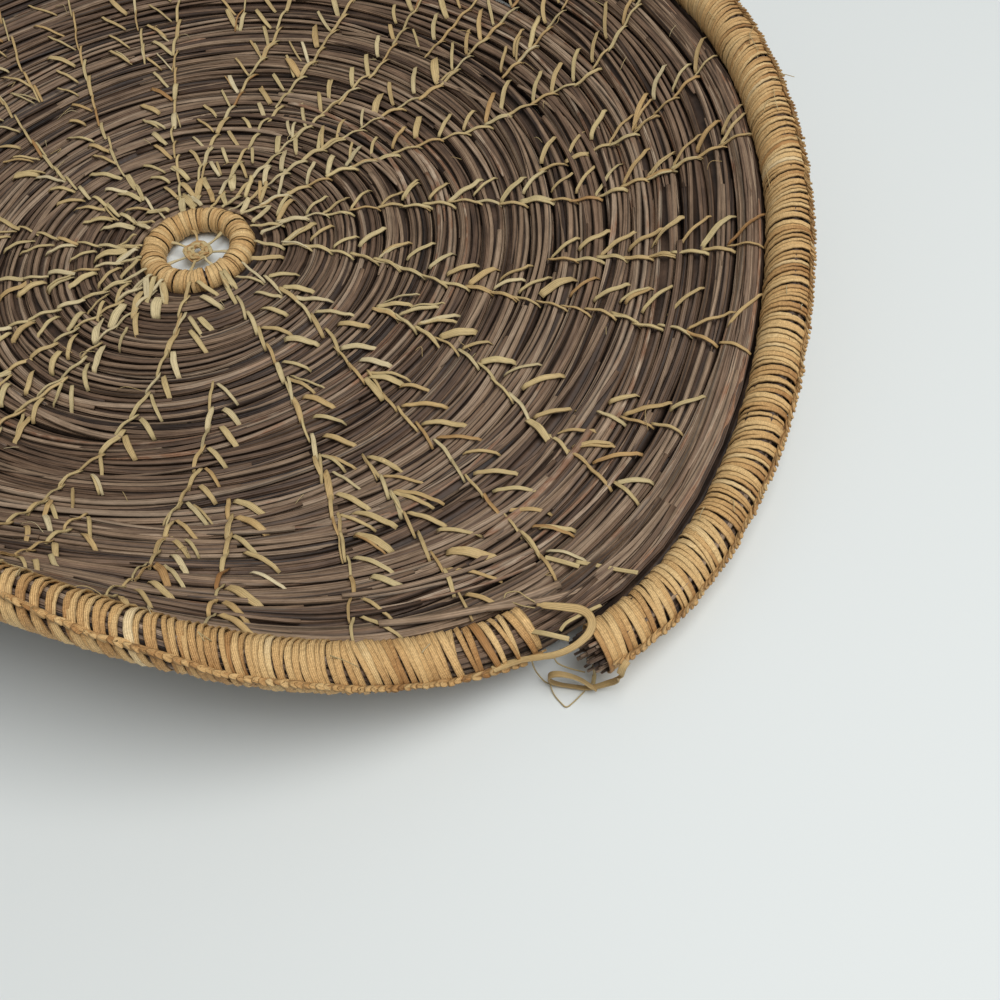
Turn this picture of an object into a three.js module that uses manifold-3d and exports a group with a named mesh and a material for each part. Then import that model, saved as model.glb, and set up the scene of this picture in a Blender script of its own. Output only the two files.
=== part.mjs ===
// Pine needle basket: a shallow coiled tray.
// A bundle of pine needles winds outwards, clockwise from above, round a wrapped eye ring.
// Rays of raffia stitches sew each turn to the one before it.
// The last turn is thicker, lashed over with raffia as the rim, and ends in cut needles.
// Millimetres, +Z up. The basket stands on its level inner turns at z = 0.
import * as THREE from 'three';
import { mergeVertices } from 'three/addons/utils/BufferGeometryUtils.js';
import Module from 'manifold-3d';

// Clearances
const SEAT_GAP = 0.35; // between a raffia piece and what it lies on
const TURN_GAP = 0.75; // between one turn of the coil and the next

// Needle coil
const COIL_TURNS = 20; // bare turns between the eye ring and the rim
const BUNDLE_WIDTH = 5.25; // across the bundle, along the basket's wall
const BUNDLE_HEIGHT = 5.1; // across the bundle, through the wall
const START_WIDTH = 1.4; // the bundle starts thin beside the eye ring
const START_TAPER = 0.5; // share of the first turn in which it thickens to the full bundle
const FLAT_CUT = 0.5; // depth of the worn flat under the level turns
const START_AZIMUTH = -57; // degrees: where the coil starts and where the rim ends

// Dish: level in the middle, then a wall that curves up towards the rim
const LEVEL_RADIUS = 50; // where the wall starts to curve up
const WALL_ARC = 84.5; // along the wall, from the level middle to where the slope is stated
const WALL_SLOPE = 34; // degrees, round most of the basket
const LOW_SIDE_DROP = 48; // degrees less slope where the rim is flattened out
const LOW_SIDE_AZIMUTH = -64;
const HIGH_SIDE_RISE = 56; // degrees more slope where the rim stands up
const HIGH_SIDE_AZIMUTH = -98;
const SIDE_SHARPNESS = 8; // the larger, the narrower the low and high sides

// Rim: a needle core, its raffia lashing and a braided edge
const RIM_WIDTH = 10; // over the lashing, along the wall
const RIM_HEIGHT = 9.2; // over the lashing, through the wall
const LASHING_THICKNESS = 1.05; // at the crest of a lashing rib
const LASHING_GROOVE = 0.45; // depth between two ribs
const LASHING_RIBS = 60; // in one turn of the rim
const LASHING_BARE = { start: 3, end: 0.7 }; // degrees of the rim left bare at each end of the lashing
const RIM_TAPER = 0.12; // share of a turn in which the bundle thickens into the rim
const BRAID_DIAMETER = 2.4; // braided edge along the rim's outer side
const BRAID_LIFT = 0.9; // above the middle of the rim's outer side

// Eye: a needle ring, its raffia wrap and a woven web across the opening
const EYE_OPENING = 16; // diameter
const EYE_WIDTH = 6; // across the wrapped ring, level
const EYE_HEIGHT = 5.8; // across the wrapped ring, upright
const EYE_WRAP_THICKNESS = 1;
const EYE_WRAP_GROOVE = 0.35;
const EYE_RIBS = 24;
const EYE_WRAP_OPEN = 15; // degrees left bare where the wrap starts and ends
const WEB_HUB_DIAMETER = 6.4;
const WEB_HUB_THICKNESS = 1.2; // in its middle
const WEB_SHOULDER = 0.6; // share of the hub's radius where it starts to thin
const WEB_SHOULDER_THICKNESS = 0.96;
const WEB_EDGE_THICKNESS = 0.3;
const WEB_SPOKE_DIAMETER = 1;
const WEB_SPOKES = 7;

// Stitch rays
const STITCH_WIDTH = 1.9;
const STITCH_THICKNESS = 0.9;
const STITCH_DIP = 0.65; // where it passes between two turns, as a share of the bundle's half height
const STITCH_LIFT = 1.15; // how much of the seat gap it keeps over the bundle's upper corners
// The course of each ray as the maker sewed it: turns, each with the azimuth there in degrees.
const RAYS = [
  // from the eye to the rim
  [[0, -60.5], [10, -67], [20, -72.8]], [[0, -93], [10, -107], [20, -108]],
  [[0, -125], [10, -129], [20, -135]], [[0, -138], [10, -142], [20, -148]],
  [[0, -152], [10, -159], [20, -165]], [[0, -172], [10, -180], [20, -187]],
  [[0, -189], [10, -207], [20, -214]], [[0, -215], [10, -228], [20, -233]],
  [[0, -233], [10, -244.5], [20, -252]], [[0, -256], [10, -263], [20, -270]],
  [[0, -267], [10, -283], [20, -289]], [[0, -285], [10, -294], [20, -300]],
  [[0, -298], [10, -308.5], [20, -306]], [[0, -309], [10, -322.5], [20, -323.5]],
  [[0, -323], [10, -338.5], [15, -342.5], [20, -337]], [[0, -346], [10, -361], [13, -365], [20, -364.5]],
  [[0, -368], [7, -381], [10, -383], [20, -388.5]], [[0, -398], [6, -410.5], [20, -415.5]],
  // added as the basket widens
  [[12, -61.5], [20, -63.5]], [[6, -83], [12, -88.5], [20, -89.5]], [[12, -81.3], [20, -82.5]],
  [[13, -100], [20, -101]], [[11, -170], [20, -176]], [[12, -194], [20, -200]], [[12, -219], [20, -224]],
  [[11, -235], [20, -241]], [[11, -257], [20, -260]], [[12, -276.5], [20, -279]], [[12, -315.8], [20, -317]],
  [[13, -331.6], [20, -328.5]], [[12, -355.5], [15, -356.5], [20, -352]], [[12, -376], [20, -378]],
  [[6, -393.5], [10, -397.5], [14, -403], [20, -406]], [[16, -398], [20, -397]],
];

// Loose raffia ends at the break of the rim, from the eye's centre
const RAFFIA_DIAMETER = 1.1;
const TAIL_POINTS = [
  [83.84, -126.41, 10.51], [82.9, -127.25, 10], [82.4, -127.7, 8.3], [82.3, -127.5, 6.3],
  [81.7, -127, 4.3], [80.5, -126.5, 2.6], [78.6, -126.3, 1.4], [76.6, -126.1, 0.85],
  [74.4, -125.5, 0.8], [72.2, -124.8, 0.8], [70.7, -124.4, 1.45], [70.1, -124.2, 3],
  [70.7, -124.4, 4.55], [72.2, -124.8, 5.2], [74, -125.3, 4.9], [75.7, -125.9, 4.1],
  [77.1, -126.6, 3], [78.3, -127.3, 1.9],
];
const LOOP_POINTS = [
  [69.9, -118.6, 12.9], [71.4, -118.6, 13.6], [73.1, -118.9, 13.9], [75, -118.9, 13.9],
  [76.8, -118.2, 13.7], [77.9, -116.7, 13.3], [77.6, -115, 12.9], [76.1, -114, 12.6],
  [74.2, -113.8, 12.5], [72.3, -113.7, 12.5], [70.4, -113.6, 12.5], [68.5, -113.2, 12.6],
  [66.6, -112.5, 12.7], [64.8, -111.5, 12.8], [63, -110.4, 12.8], [61.2, -109.3, 12.7],
  [59.4, -108.3, 12.6],
];

// Facets
const COIL_STEPS = 24; // in one turn
const COIL_SIDES = 6;
const WRAP_SIDES = 8;
const CORD_SIDES = 8;
const CORD_STEPS = 30;
const GAP_SAMPLES = 6; // points along each side of a section, to measure the coil's gaps
const MERGE_DISTANCE = 1e-4; // corners closer than this are one corner
const SAME_PLACE = 1e-6; // share of a step within which two places along the coil are one

const FULL_TURN = 2 * Math.PI;
const radians = THREE.MathUtils.degToRad;
const lerp = THREE.MathUtils.lerp;
const smoothstep = THREE.MathUtils.smoothstep;

const rimEnd = COIL_TURNS + 1;
const seatHeight = BUNDLE_HEIGHT / 2 - FLAT_CUT;
const eyeRadius = (EYE_OPENING + EYE_WIDTH) / 2;
const eyeOuterRadius = EYE_OPENING / 2 + EYE_WIDTH;
// An eight-sided section keeps this share of its half width at the middle of a side.
const wrapFlat = Math.cos(Math.PI / WRAP_SIDES);
const coilFlat = Math.cos(Math.PI / COIL_SIDES);
const rimCoreWidth = 2 * ((RIM_WIDTH / 2 - LASHING_THICKNESS) * wrapFlat - SEAT_GAP);
const rimCoreHeight = 2 * ((RIM_HEIGHT / 2 - LASHING_THICKNESS) * wrapFlat - SEAT_GAP) / coilFlat;

// How far a place lies through the bundle's start, from 0 to 1, and through its growth into the rim.
const startShare = (turn) => smoothstep(turn, 0, START_TAPER);
const rimShare = (turn) => smoothstep(turn, COIL_TURNS - RIM_TAPER, COIL_TURNS);

// Half of the room that the bundle takes along the wall, with its lashing on the rim.
function halfRoom(turn) {
  const bundle = lerp(START_WIDTH, BUNDLE_WIDTH, startShare(turn));
  return lerp(bundle, RIM_WIDTH, rimShare(turn)) / 2;
}

// Half width and half height of the bare bundle.
function halfSection(turn) {
  const width = lerp(START_WIDTH, BUNDLE_WIDTH, startShare(turn));
  const height = lerp(START_WIDTH, BUNDLE_HEIGHT, startShare(turn));
  return {
    width: lerp(width, rimCoreWidth, rimShare(turn)) / 2,
    height: lerp(height, rimCoreHeight, rimShare(turn)) / 2,
  };
}

// Distance from the eye's centre, along the dish. The first turn hugs the eye ring, then climbs
// over its own thin start, and each later turn lies beside the one before it.
function arcAt(turn) {
  if (turn < 1) {
    const climb = (START_WIDTH + TURN_GAP) * smoothstep(turn, START_TAPER, 1);
    return eyeOuterRadius + SEAT_GAP + halfRoom(turn) + climb;
  }
  return arcAt(turn - 1) + halfRoom(turn - 1) + TURN_GAP + halfRoom(turn);
}

// 1 at the stated azimuth, falling smoothly to 0 on the far side.
function sideBump(azimuth, centre) {
  return ((1 + Math.cos(azimuth - radians(centre))) / 2) ** SIDE_SHARPNESS;
}

// The dish's plan radius, height and slope at a distance along it: the wall is an arc,
// tangent to the level middle, that reaches the azimuth's slope after WALL_ARC.
function dishAt(arc, azimuth) {
  const drop = LOW_SIDE_DROP * sideBump(azimuth, LOW_SIDE_AZIMUTH);
  const rise = HIGH_SIDE_RISE * sideBump(azimuth, HIGH_SIDE_AZIMUTH);
  const bend = radians(WALL_SLOPE - drop + rise) / WALL_ARC;
  const slope = bend * Math.max(0, arc - LEVEL_RADIUS);
  return {
    radius: Math.min(arc, LEVEL_RADIUS) + Math.sin(slope) / bend,
    height: seatHeight + (1 - Math.cos(slope)) / bend,
    slope,
  };
}

// A point beside the coil's centre line in one of its upright planes:
// across runs up the wall, and up runs through it, towards the inside of the basket.
function planePoint(step, across, up) {
  const turn = step / COIL_STEPS;
  const azimuth = radians(START_AZIMUTH) - FULL_TURN * turn;
  const dish = dishAt(arcAt(turn), azimuth);
  const radius = dish.radius + across * Math.cos(dish.slope) - up * Math.sin(dish.slope);
  const height = dish.height + across * Math.sin(dish.slope) + up * Math.cos(dish.slope);
  return new THREE.Vector3(radius * Math.cos(azimuth), radius * Math.sin(azimuth), Math.max(0, height));
}

// The same between two planes, on the straight run that joins them.
function coilPoint(turn, across, up) {
  const step = Math.min(Math.floor(turn * COIL_STEPS + SAME_PLACE), rimEnd * COIL_STEPS - 1);
  const next = planePoint(step + 1, across, up);
  return planePoint(step, across, up).lerp(next, turn * COIL_STEPS - step);
}

// Points of a regular section, stretched to a half width and half height.
function section(sides, halfWidth, halfHeight, firstAngle) {
  return Array.from({ length: sides }, (_, side) => {
    const angle = firstAngle + FULL_TURN * side / sides;
    return [halfWidth * Math.cos(angle), halfHeight * Math.sin(angle)];
  });
}

const coilRing = (turn, points) => points.map(([across, up]) => coilPoint(turn, across, up));

// A mesh geometry from points and triangles, with its faces turned outwards.
function solidGeometry(points, triangles) {
  const corner = (index) => points[index];
  const volume = triangles.reduce((sum, [a, b, c]) => {
    const cross = new THREE.Vector3().crossVectors(corner(b), corner(c));
    return sum + corner(a).dot(cross) / 6;
  }, 0);
  const outward = volume > 0 ? triangles : triangles.map(([a, b, c]) => [a, c, b]);
  const geometry = new THREE.BufferGeometry();
  const coordinates = points.flatMap((point) => [point.x, point.y, point.z]);
  geometry.setAttribute('position', new THREE.Float32BufferAttribute(coordinates, 3));
  geometry.setIndex(outward.flat());
  geometry.computeVertexNormals();
  return geometry;
}

// Triangles between consecutive rings of equal counts.
function skinTriangles(ringCount, sides, firstPoint, flipped) {
  const triangles = [];
  for (let ring = 0; ring < ringCount - 1; ring += 1) {
    for (let side = 0; side < sides; side += 1) {
      const here = firstPoint + ring * sides;
      const a = here + side;
      const b = here + (side + 1) % sides;
      const c = a + sides;
      const d = b + sides;
      triangles.push(...(flipped ? [[a, b, c], [b, d, c]] : [[a, c, b], [b, c, d]]));
    }
  }
  return triangles;
}

// A solid bar through rings of points, closed by a flat fan at each end.
function barGeometry(rings) {
  const sides = rings[0].length;
  const last = (rings.length - 1) * sides;
  const triangles = skinTriangles(rings.length, sides, 0, false);
  for (let side = 1; side < sides - 1; side += 1) {
    triangles.push([0, side, side + 1], [last, last + side + 1, last + side]);
  }
  return solidGeometry(rings.flat(), triangles);
}

// A sleeve with an outer skin, a bore and a flat ring at each open end.
function sleeveGeometry(outerRings, boreRings) {
  const sides = outerRings[0].length;
  const boreStart = outerRings.length * sides;
  const outerLast = boreStart - sides;
  const boreLast = boreStart + (boreRings.length - 1) * sides;
  const triangles = [
    ...skinTriangles(outerRings.length, sides, 0, false),
    ...skinTriangles(boreRings.length, sides, boreStart, true),
  ];
  for (let side = 0; side < sides; side += 1) {
    const next = (side + 1) % sides;
    triangles.push([side, next, boreStart + side], [next, boreStart + next, boreStart + side]);
    triangles.push([outerLast + side, boreLast + side, outerLast + next]);
    triangles.push([outerLast + next, boreLast + side, boreLast + next]);
  }
  return solidGeometry([...outerRings.flat(), ...boreRings.flat()], triangles);
}

// Needle coil: one unbroken bundle from the eye ring to the cut end of the rim.
function coilSection(turn) {
  const half = halfSection(turn);
  return section(COIL_SIDES, half.width, half.height, 0);
}

function needleCoil() {
  const rings = [];
  for (let step = 0; step <= rimEnd * COIL_STEPS; step += 1) {
    const turn = step / COIL_STEPS;
    rings.push(coilSection(turn).map(([across, up]) => planePoint(step, across, up)));
  }
  return barGeometry(rings);
}

// Points along the sides of the bundle's section in one upright plane.
function sectionSamples(step) {
  const corners = coilSection(step / COIL_STEPS).map(([across, up]) => planePoint(step, across, up));
  return corners.flatMap((corner, side) => {
    const next = corners[(side + 1) % corners.length];
    return Array.from({ length: GAP_SAMPLES }, (_, index) => corner.clone().lerp(next, index / GAP_SAMPLES));
  });
}

// Least distance between each turn of the bundle and the next one out, plane by plane.
function leastCoilGap() {
  let least = Infinity;
  for (let step = 0; step + COIL_STEPS <= rimEnd * COIL_STEPS; step += 1) {
    const outer = sectionSamples(step + COIL_STEPS);
    for (const point of sectionSamples(step)) {
      for (const other of outer) {
        least = Math.min(least, point.distanceTo(other));
      }
    }
  }
  return least;
}

// Rim lashing: a ribbed sleeve over the last turn, open at both ends.
const lashingStart = COIL_TURNS + LASHING_BARE.start / 360;
const lashingEnd = rimEnd - LASHING_BARE.end / 360;
const wrapAngle = Math.PI / WRAP_SIDES;

// The coil's upright planes that lie between two places on the rim, with both places.
function rimPlaces(start, end) {
  const places = [start];
  const first = Math.ceil(start * COIL_STEPS + SAME_PLACE);
  for (let step = first; step < end * COIL_STEPS - SAME_PLACE; step += 1) {
    places.push(step / COIL_STEPS);
  }
  return [...places, end];
}

function rimLashing() {
  const outerRings = [];
  for (let index = 0; index <= 2 * LASHING_RIBS; index += 1) {
    const groove = index % 2 === 0 ? LASHING_GROOVE : 0;
    const points = section(WRAP_SIDES, RIM_WIDTH / 2 - groove, RIM_HEIGHT / 2 - groove, wrapAngle);
    const turn = lerp(lashingStart, lashingEnd, index / (2 * LASHING_RIBS));
    outerRings.push(coilRing(turn, points));
  }
  const bore = section(WRAP_SIDES, RIM_WIDTH / 2 - LASHING_THICKNESS, RIM_HEIGHT / 2 - LASHING_THICKNESS,
    wrapAngle);
  const boreRings = rimPlaces(lashingStart, lashingEnd).map((turn) => coilRing(turn, bore));
  return sleeveGeometry(outerRings, boreRings);
}

// Braided edge: a round cord along the outer side of the rim.
function rimBraid() {
  const across = RIM_WIDTH / 2 * wrapFlat + SEAT_GAP + BRAID_DIAMETER / 2;
  const round = section(COIL_SIDES, BRAID_DIAMETER / 2, BRAID_DIAMETER / 2, 0);
  const points = round.map(([x, y]) => [across + x, BRAID_LIFT + y]);
  return barGeometry(rimPlaces(lashingStart, lashingEnd).map((turn) => coilRing(turn, points)));
}

// Eye ring: its needle core and the ribbed wrap, which is open where it starts and ends.
const eyeCentreHeight = EYE_HEIGHT / 2 + SEAT_GAP;

function eyeRing(azimuth, points) {
  return points.map(([across, up]) => new THREE.Vector3(
    (eyeRadius + across) * Math.cos(azimuth),
    (eyeRadius + across) * Math.sin(azimuth),
    eyeCentreHeight + up,
  ));
}

function eyeBundle() {
  const halfWidth = (EYE_WIDTH / 2 - EYE_WRAP_THICKNESS) * wrapFlat - SEAT_GAP;
  const halfHeight = (EYE_HEIGHT / 2 - EYE_WRAP_THICKNESS) * wrapFlat - SEAT_GAP;
  const points = section(WRAP_SIDES, halfWidth, halfHeight, wrapAngle);
  const profile = points.map(([across, up]) => new THREE.Vector2(eyeRadius + across, up));
  const ring = new THREE.LatheGeometry([...profile, profile[0]], 2 * EYE_RIBS);
  ring.deleteAttribute('normal');
  ring.deleteAttribute('uv');
  ring.rotateX(Math.PI / 2);
  ring.translate(0, 0, eyeCentreHeight);
  return mergeVertices(ring, MERGE_DISTANCE);
}

function eyeWrap() {
  const places = Array.from({ length: 2 * EYE_RIBS + 1 }, (_, index) => {
    const share = index / (2 * EYE_RIBS);
    return radians(START_AZIMUTH + EYE_WRAP_OPEN / 2 + share * (360 - EYE_WRAP_OPEN));
  });
  const outerRings = places.map((azimuth, index) => {
    const groove = index % 2 === 0 ? EYE_WRAP_GROOVE : 0;
    return eyeRing(azimuth, section(WRAP_SIDES, EYE_WIDTH / 2 - groove, EYE_HEIGHT / 2 - groove, wrapAngle));
  });
  const bore = section(WRAP_SIDES, EYE_WIDTH / 2 - EYE_WRAP_THICKNESS, EYE_HEIGHT / 2 - EYE_WRAP_THICKNESS,
    wrapAngle);
  const boreRings = places.filter((_, index) => index % 2 === 0).map((azimuth) => eyeRing(azimuth, bore));
  return sleeveGeometry(outerRings, boreRings);
}

// Eye web: a lens-shaped rosette held in the opening by spokes, joined into one piece.
const wasm = await Module();
wasm.setup();

function toManifold(source) {
  const geometry = source.clone();
  geometry.deleteAttribute('normal');
  geometry.deleteAttribute('uv');
  const merged = mergeVertices(geometry, MERGE_DISTANCE);
  return new wasm.Manifold(new wasm.Mesh({
    numProp: 3,
    vertProperties: merged.attributes.position.array,
    triVerts: Uint32Array.from(merged.index.array),
  }));
}

function fromManifold(solid) {
  const mesh = solid.getMesh();
  const geometry = new THREE.BufferGeometry();
  geometry.setAttribute('position', new THREE.BufferAttribute(mesh.vertProperties, 3));
  geometry.setIndex(new THREE.BufferAttribute(mesh.triVerts, 1));
  geometry.computeVertexNormals();
  return geometry;
}

function eyeWeb() {
  const halfHub = WEB_HUB_DIAMETER / 2;
  const below = [
    [0, -WEB_HUB_THICKNESS / 2],
    [halfHub * WEB_SHOULDER, -WEB_SHOULDER_THICKNESS / 2],
    [halfHub, -WEB_EDGE_THICKNESS / 2],
  ];
  const above = below.map(([x, y]) => [x, -y]).reverse();
  const lens = [...below, ...above].map(([x, y]) => new THREE.Vector2(x, y));
  const hub = new THREE.LatheGeometry(lens, 2 * WEB_SPOKES);
  hub.rotateX(Math.PI / 2);
  const reach = EYE_OPENING / 2 - SEAT_GAP;
  const spokeRadius = WEB_SPOKE_DIAMETER / 2;
  let web = toManifold(hub);
  for (let index = 0; index < WEB_SPOKES; index += 1) {
    const spoke = new THREE.CylinderGeometry(spokeRadius, spokeRadius, reach, COIL_SIDES);
    spoke.translate(0, reach / 2, 0);
    spoke.rotateZ(FULL_TURN * index / WEB_SPOKES);
    web = web.add(toManifold(spoke));
  }
  return fromManifold(web).translate(0, 0, eyeCentreHeight);
}

// Stitch ray: one strand that humps over each turn and dips between turns.
// Its section is a low triangle, flat side down.
function stitchRing(turn, across, up) {
  const radius = dishAt(arcAt(turn), radians(START_AZIMUTH) - FULL_TURN * turn).radius;
  const halfTurn = STITCH_WIDTH / 2 / (FULL_TURN * radius);
  return [
    coilPoint(Math.max(0, turn - halfTurn), across, up),
    coilPoint(turn + halfTurn, across, up),
    coilPoint(turn, across, up + STITCH_THICKNESS),
  ];
}

// The strand clears the upper corners of the bundle's section on its way from hump to dip.
function stitchHeights(turn) {
  const half = halfSection(turn);
  const corner = { across: half.width / 2, up: half.height * coilFlat };
  const dip = half.height * STITCH_DIP;
  const share = corner.across / (half.width + TURN_GAP / 2);
  const hump = (corner.up + SEAT_GAP * STITCH_LIFT - dip * share) / (1 - share);
  return { hump, dip, reach: half.width + TURN_GAP / 2 };
}

// Azimuth of a ray on one of its turns, in degrees, on straight runs between the stated turns.
function rayAzimuth(course, turn) {
  const next = Math.max(1, course.findIndex(([stated]) => stated >= turn));
  const [fromTurn, from] = course[next - 1];
  const [toTurn, to] = course[next];
  return lerp(from, to, (turn - fromTurn) / (toTurn - fromTurn));
}

function stitchRay(course) {
  const rings = [];
  let before = 0;
  for (let index = course[0][0]; index < COIL_TURNS; index += 1) {
    const turn = index + (START_AZIMUTH - rayAzimuth(course, index)) / 360;
    if (turn > COIL_TURNS - RIM_TAPER / 2) {
      break;
    }
    const { hump, dip, reach } = stitchHeights(turn);
    if (rings.length > 0) {
      const inner = stitchRing(before, stitchHeights(before).reach, stitchHeights(before).dip);
      const outer = stitchRing(turn, -reach, dip);
      rings.push(inner.map((point, corner) => point.lerp(outer[corner], 0.5)));
    }
    rings.push(stitchRing(turn, 0, hump));
    before = turn;
  }
  return barGeometry(rings);
}

// Loose raffia end: a round strand along a route chosen by hand.
function raffiaEnd(points) {
  const route = new THREE.CatmullRomCurve3(points.map((point) => new THREE.Vector3(...point)));
  const round = section(CORD_SIDES, RAFFIA_DIAMETER / 2, RAFFIA_DIAMETER / 2, 0);
  const shape = new THREE.Shape(round.map(([x, y]) => new THREE.Vector2(x, y)));
  const options = { steps: CORD_STEPS, bevelEnabled: false, extrudePath: route };
  return new THREE.ExtrudeGeometry(shape, options);
}

// Materials
const finishes = {
  needles: { color: 0x6b5a4a, roughness: 0.62, metalness: 0 },
  rimRaffia: { color: 0xc39a5c, roughness: 0.7, metalness: 0 },
  stitchRaffia: { color: 0xc4a768, roughness: 0.68, metalness: 0 },
};

function piece(name, geometry, finish) {
  const mesh = new THREE.Mesh(geometry, new THREE.MeshStandardMaterial(finishes[finish]));
  mesh.name = name;
  return mesh;
}

const basket = new THREE.Group();
basket.add(
  piece('needle_coil', needleCoil(), 'needles'),
  piece('rim_lashing', rimLashing(), 'rimRaffia'),
  piece('rim_braid', rimBraid(), 'rimRaffia'),
  piece('eye_bundle', eyeBundle(), 'needles'),
  piece('eye_wrap', eyeWrap(), 'rimRaffia'),
  piece('eye_web', eyeWeb(), 'stitchRaffia'),
);

RAYS.forEach((course, index) => {
  const name = `stitch_ray_${String(index + 1).padStart(2, '0')}`;
  basket.add(piece(name, stitchRay(course), 'stitchRaffia'));
});

// The origin is under the middle of the basket, without its loose raffia ends.
const middle = new THREE.Box3().setFromObject(basket).getCenter(new THREE.Vector3());
basket.position.set(-middle.x, -middle.y, 0);
basket.add(
  piece('raffia_tail', raffiaEnd(TAIL_POINTS), 'stitchRaffia'),
  piece('raffia_loop', raffiaEnd(LOOP_POINTS), 'stitchRaffia'),
);

console.log(`least gap of the needle coil to itself: ${leastCoilGap().toFixed(2)} mm`);

export default basket;
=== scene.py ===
# %% [markdown]
# # A coiled pine needle tray
#
# The tray is one long bundle of pine needles, wound outwards round a small wrapped ring and sewn with raffia.
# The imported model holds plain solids: a bar for the bundle, a sleeve for the lashed rim, a strand for each ray
# of stitches. Here each solid is dressed as what it stands for, needle by needle and strand by strand.
# Sizes are millimetres, measured from the middle of the eye ring, and become metres when a piece is made.

import bpy
import numpy as np
from mathutils import Matrix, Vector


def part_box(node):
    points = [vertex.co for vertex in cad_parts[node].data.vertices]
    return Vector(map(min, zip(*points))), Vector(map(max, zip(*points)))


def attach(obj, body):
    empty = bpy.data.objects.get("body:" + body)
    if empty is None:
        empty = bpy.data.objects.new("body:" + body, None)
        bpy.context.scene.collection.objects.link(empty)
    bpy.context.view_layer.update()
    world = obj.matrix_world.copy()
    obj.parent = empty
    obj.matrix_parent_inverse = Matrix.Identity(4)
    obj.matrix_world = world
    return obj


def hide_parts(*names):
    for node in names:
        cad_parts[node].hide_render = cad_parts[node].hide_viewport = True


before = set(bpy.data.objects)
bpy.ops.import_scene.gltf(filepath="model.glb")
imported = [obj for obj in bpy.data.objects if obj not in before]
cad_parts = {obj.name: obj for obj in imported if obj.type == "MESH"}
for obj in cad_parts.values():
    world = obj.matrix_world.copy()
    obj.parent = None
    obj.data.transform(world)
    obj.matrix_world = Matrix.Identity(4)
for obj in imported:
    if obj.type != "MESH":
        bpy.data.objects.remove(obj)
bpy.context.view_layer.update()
eye_low, eye_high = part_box("eye_bundle")
MM = 0.001
TAU = 2 * np.pi
EYE_CENTRE = np.array([(eye_low.x + eye_high.x) / 2, (eye_low.y + eye_high.y) / 2, 0.0])
print("solids:", len(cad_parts), "eye ring at", EYE_CENTRE.round(5))

# %% [markdown]
# ## The camera
#
# A camera could be placed by eye, but then every comparison with the photograph drifts. This one was worked out
# from the ellipse of the eye ring, the rim and the even spacing of the coil: where it stands, how far it looks
# down, how much it is tilted, and its focal length as a share of the picture's width.

# %% Camera
CAMERA_PLACE = np.array([65.5, -206.96, 181.25])
CAMERA_DOWN = np.radians(55.5)
CAMERA_TILT = np.radians(7.25)
FOCAL_SHARE = 1.08

ahead = np.array([0, np.cos(CAMERA_DOWN), -np.sin(CAMERA_DOWN)])
level = np.array([1.0, 0, 0])
below = np.cross(ahead, level)
picture_right = np.cos(CAMERA_TILT) * level + np.sin(CAMERA_TILT) * below
picture_down = np.cos(CAMERA_TILT) * below - np.sin(CAMERA_TILT) * level

camera_data = bpy.data.cameras.new("camera")
camera_data.lens = FOCAL_SHARE * camera_data.sensor_width
camera_data.clip_start = 0.01
camera = bpy.data.objects.new("camera", camera_data)
camera.matrix_world = Matrix.Translation(CAMERA_PLACE * MM + EYE_CENTRE) @ Matrix(
    np.column_stack([picture_right, -picture_down, -ahead]).tolist()).to_4x4()
bpy.context.scene.collection.objects.link(camera)
bpy.context.scene.camera = camera
print("camera", camera.location)

# %% [markdown]
# ## Strands
#
# Needles and raffia are all long thin things, so one function makes every one of them. Blender's curves with a
# bevel could do it, but a curve object has one bevel for all its splines and no random colour for each. Carrying
# a six-sided section along whole arrays of paths gives each strand its own width, twist and colour, and keeps
# what the materials need later: how far along the strand a point is, how far across, and the strand's tone.

# %% Strand sections carried along paths
SIDES = 6
ATTRIBUTES = ("along", "across", "tone")
NEEDLE_SECTION = np.array([1, 0.58, -0.58, -1, -0.58, 0.58])
RIBBON_SECTION = np.array([1, 0.88, -0.88, -1, -0.88, 0.88])
SECTION_HEIGHTS = np.array([0.0, 1, 1, 0, -1, -1])


def unit(vectors):
    """Vectors divided by their lengths."""
    return vectors / np.maximum(np.linalg.norm(vectors, axis=-1, keepdims=True), 1e-9)


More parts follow.
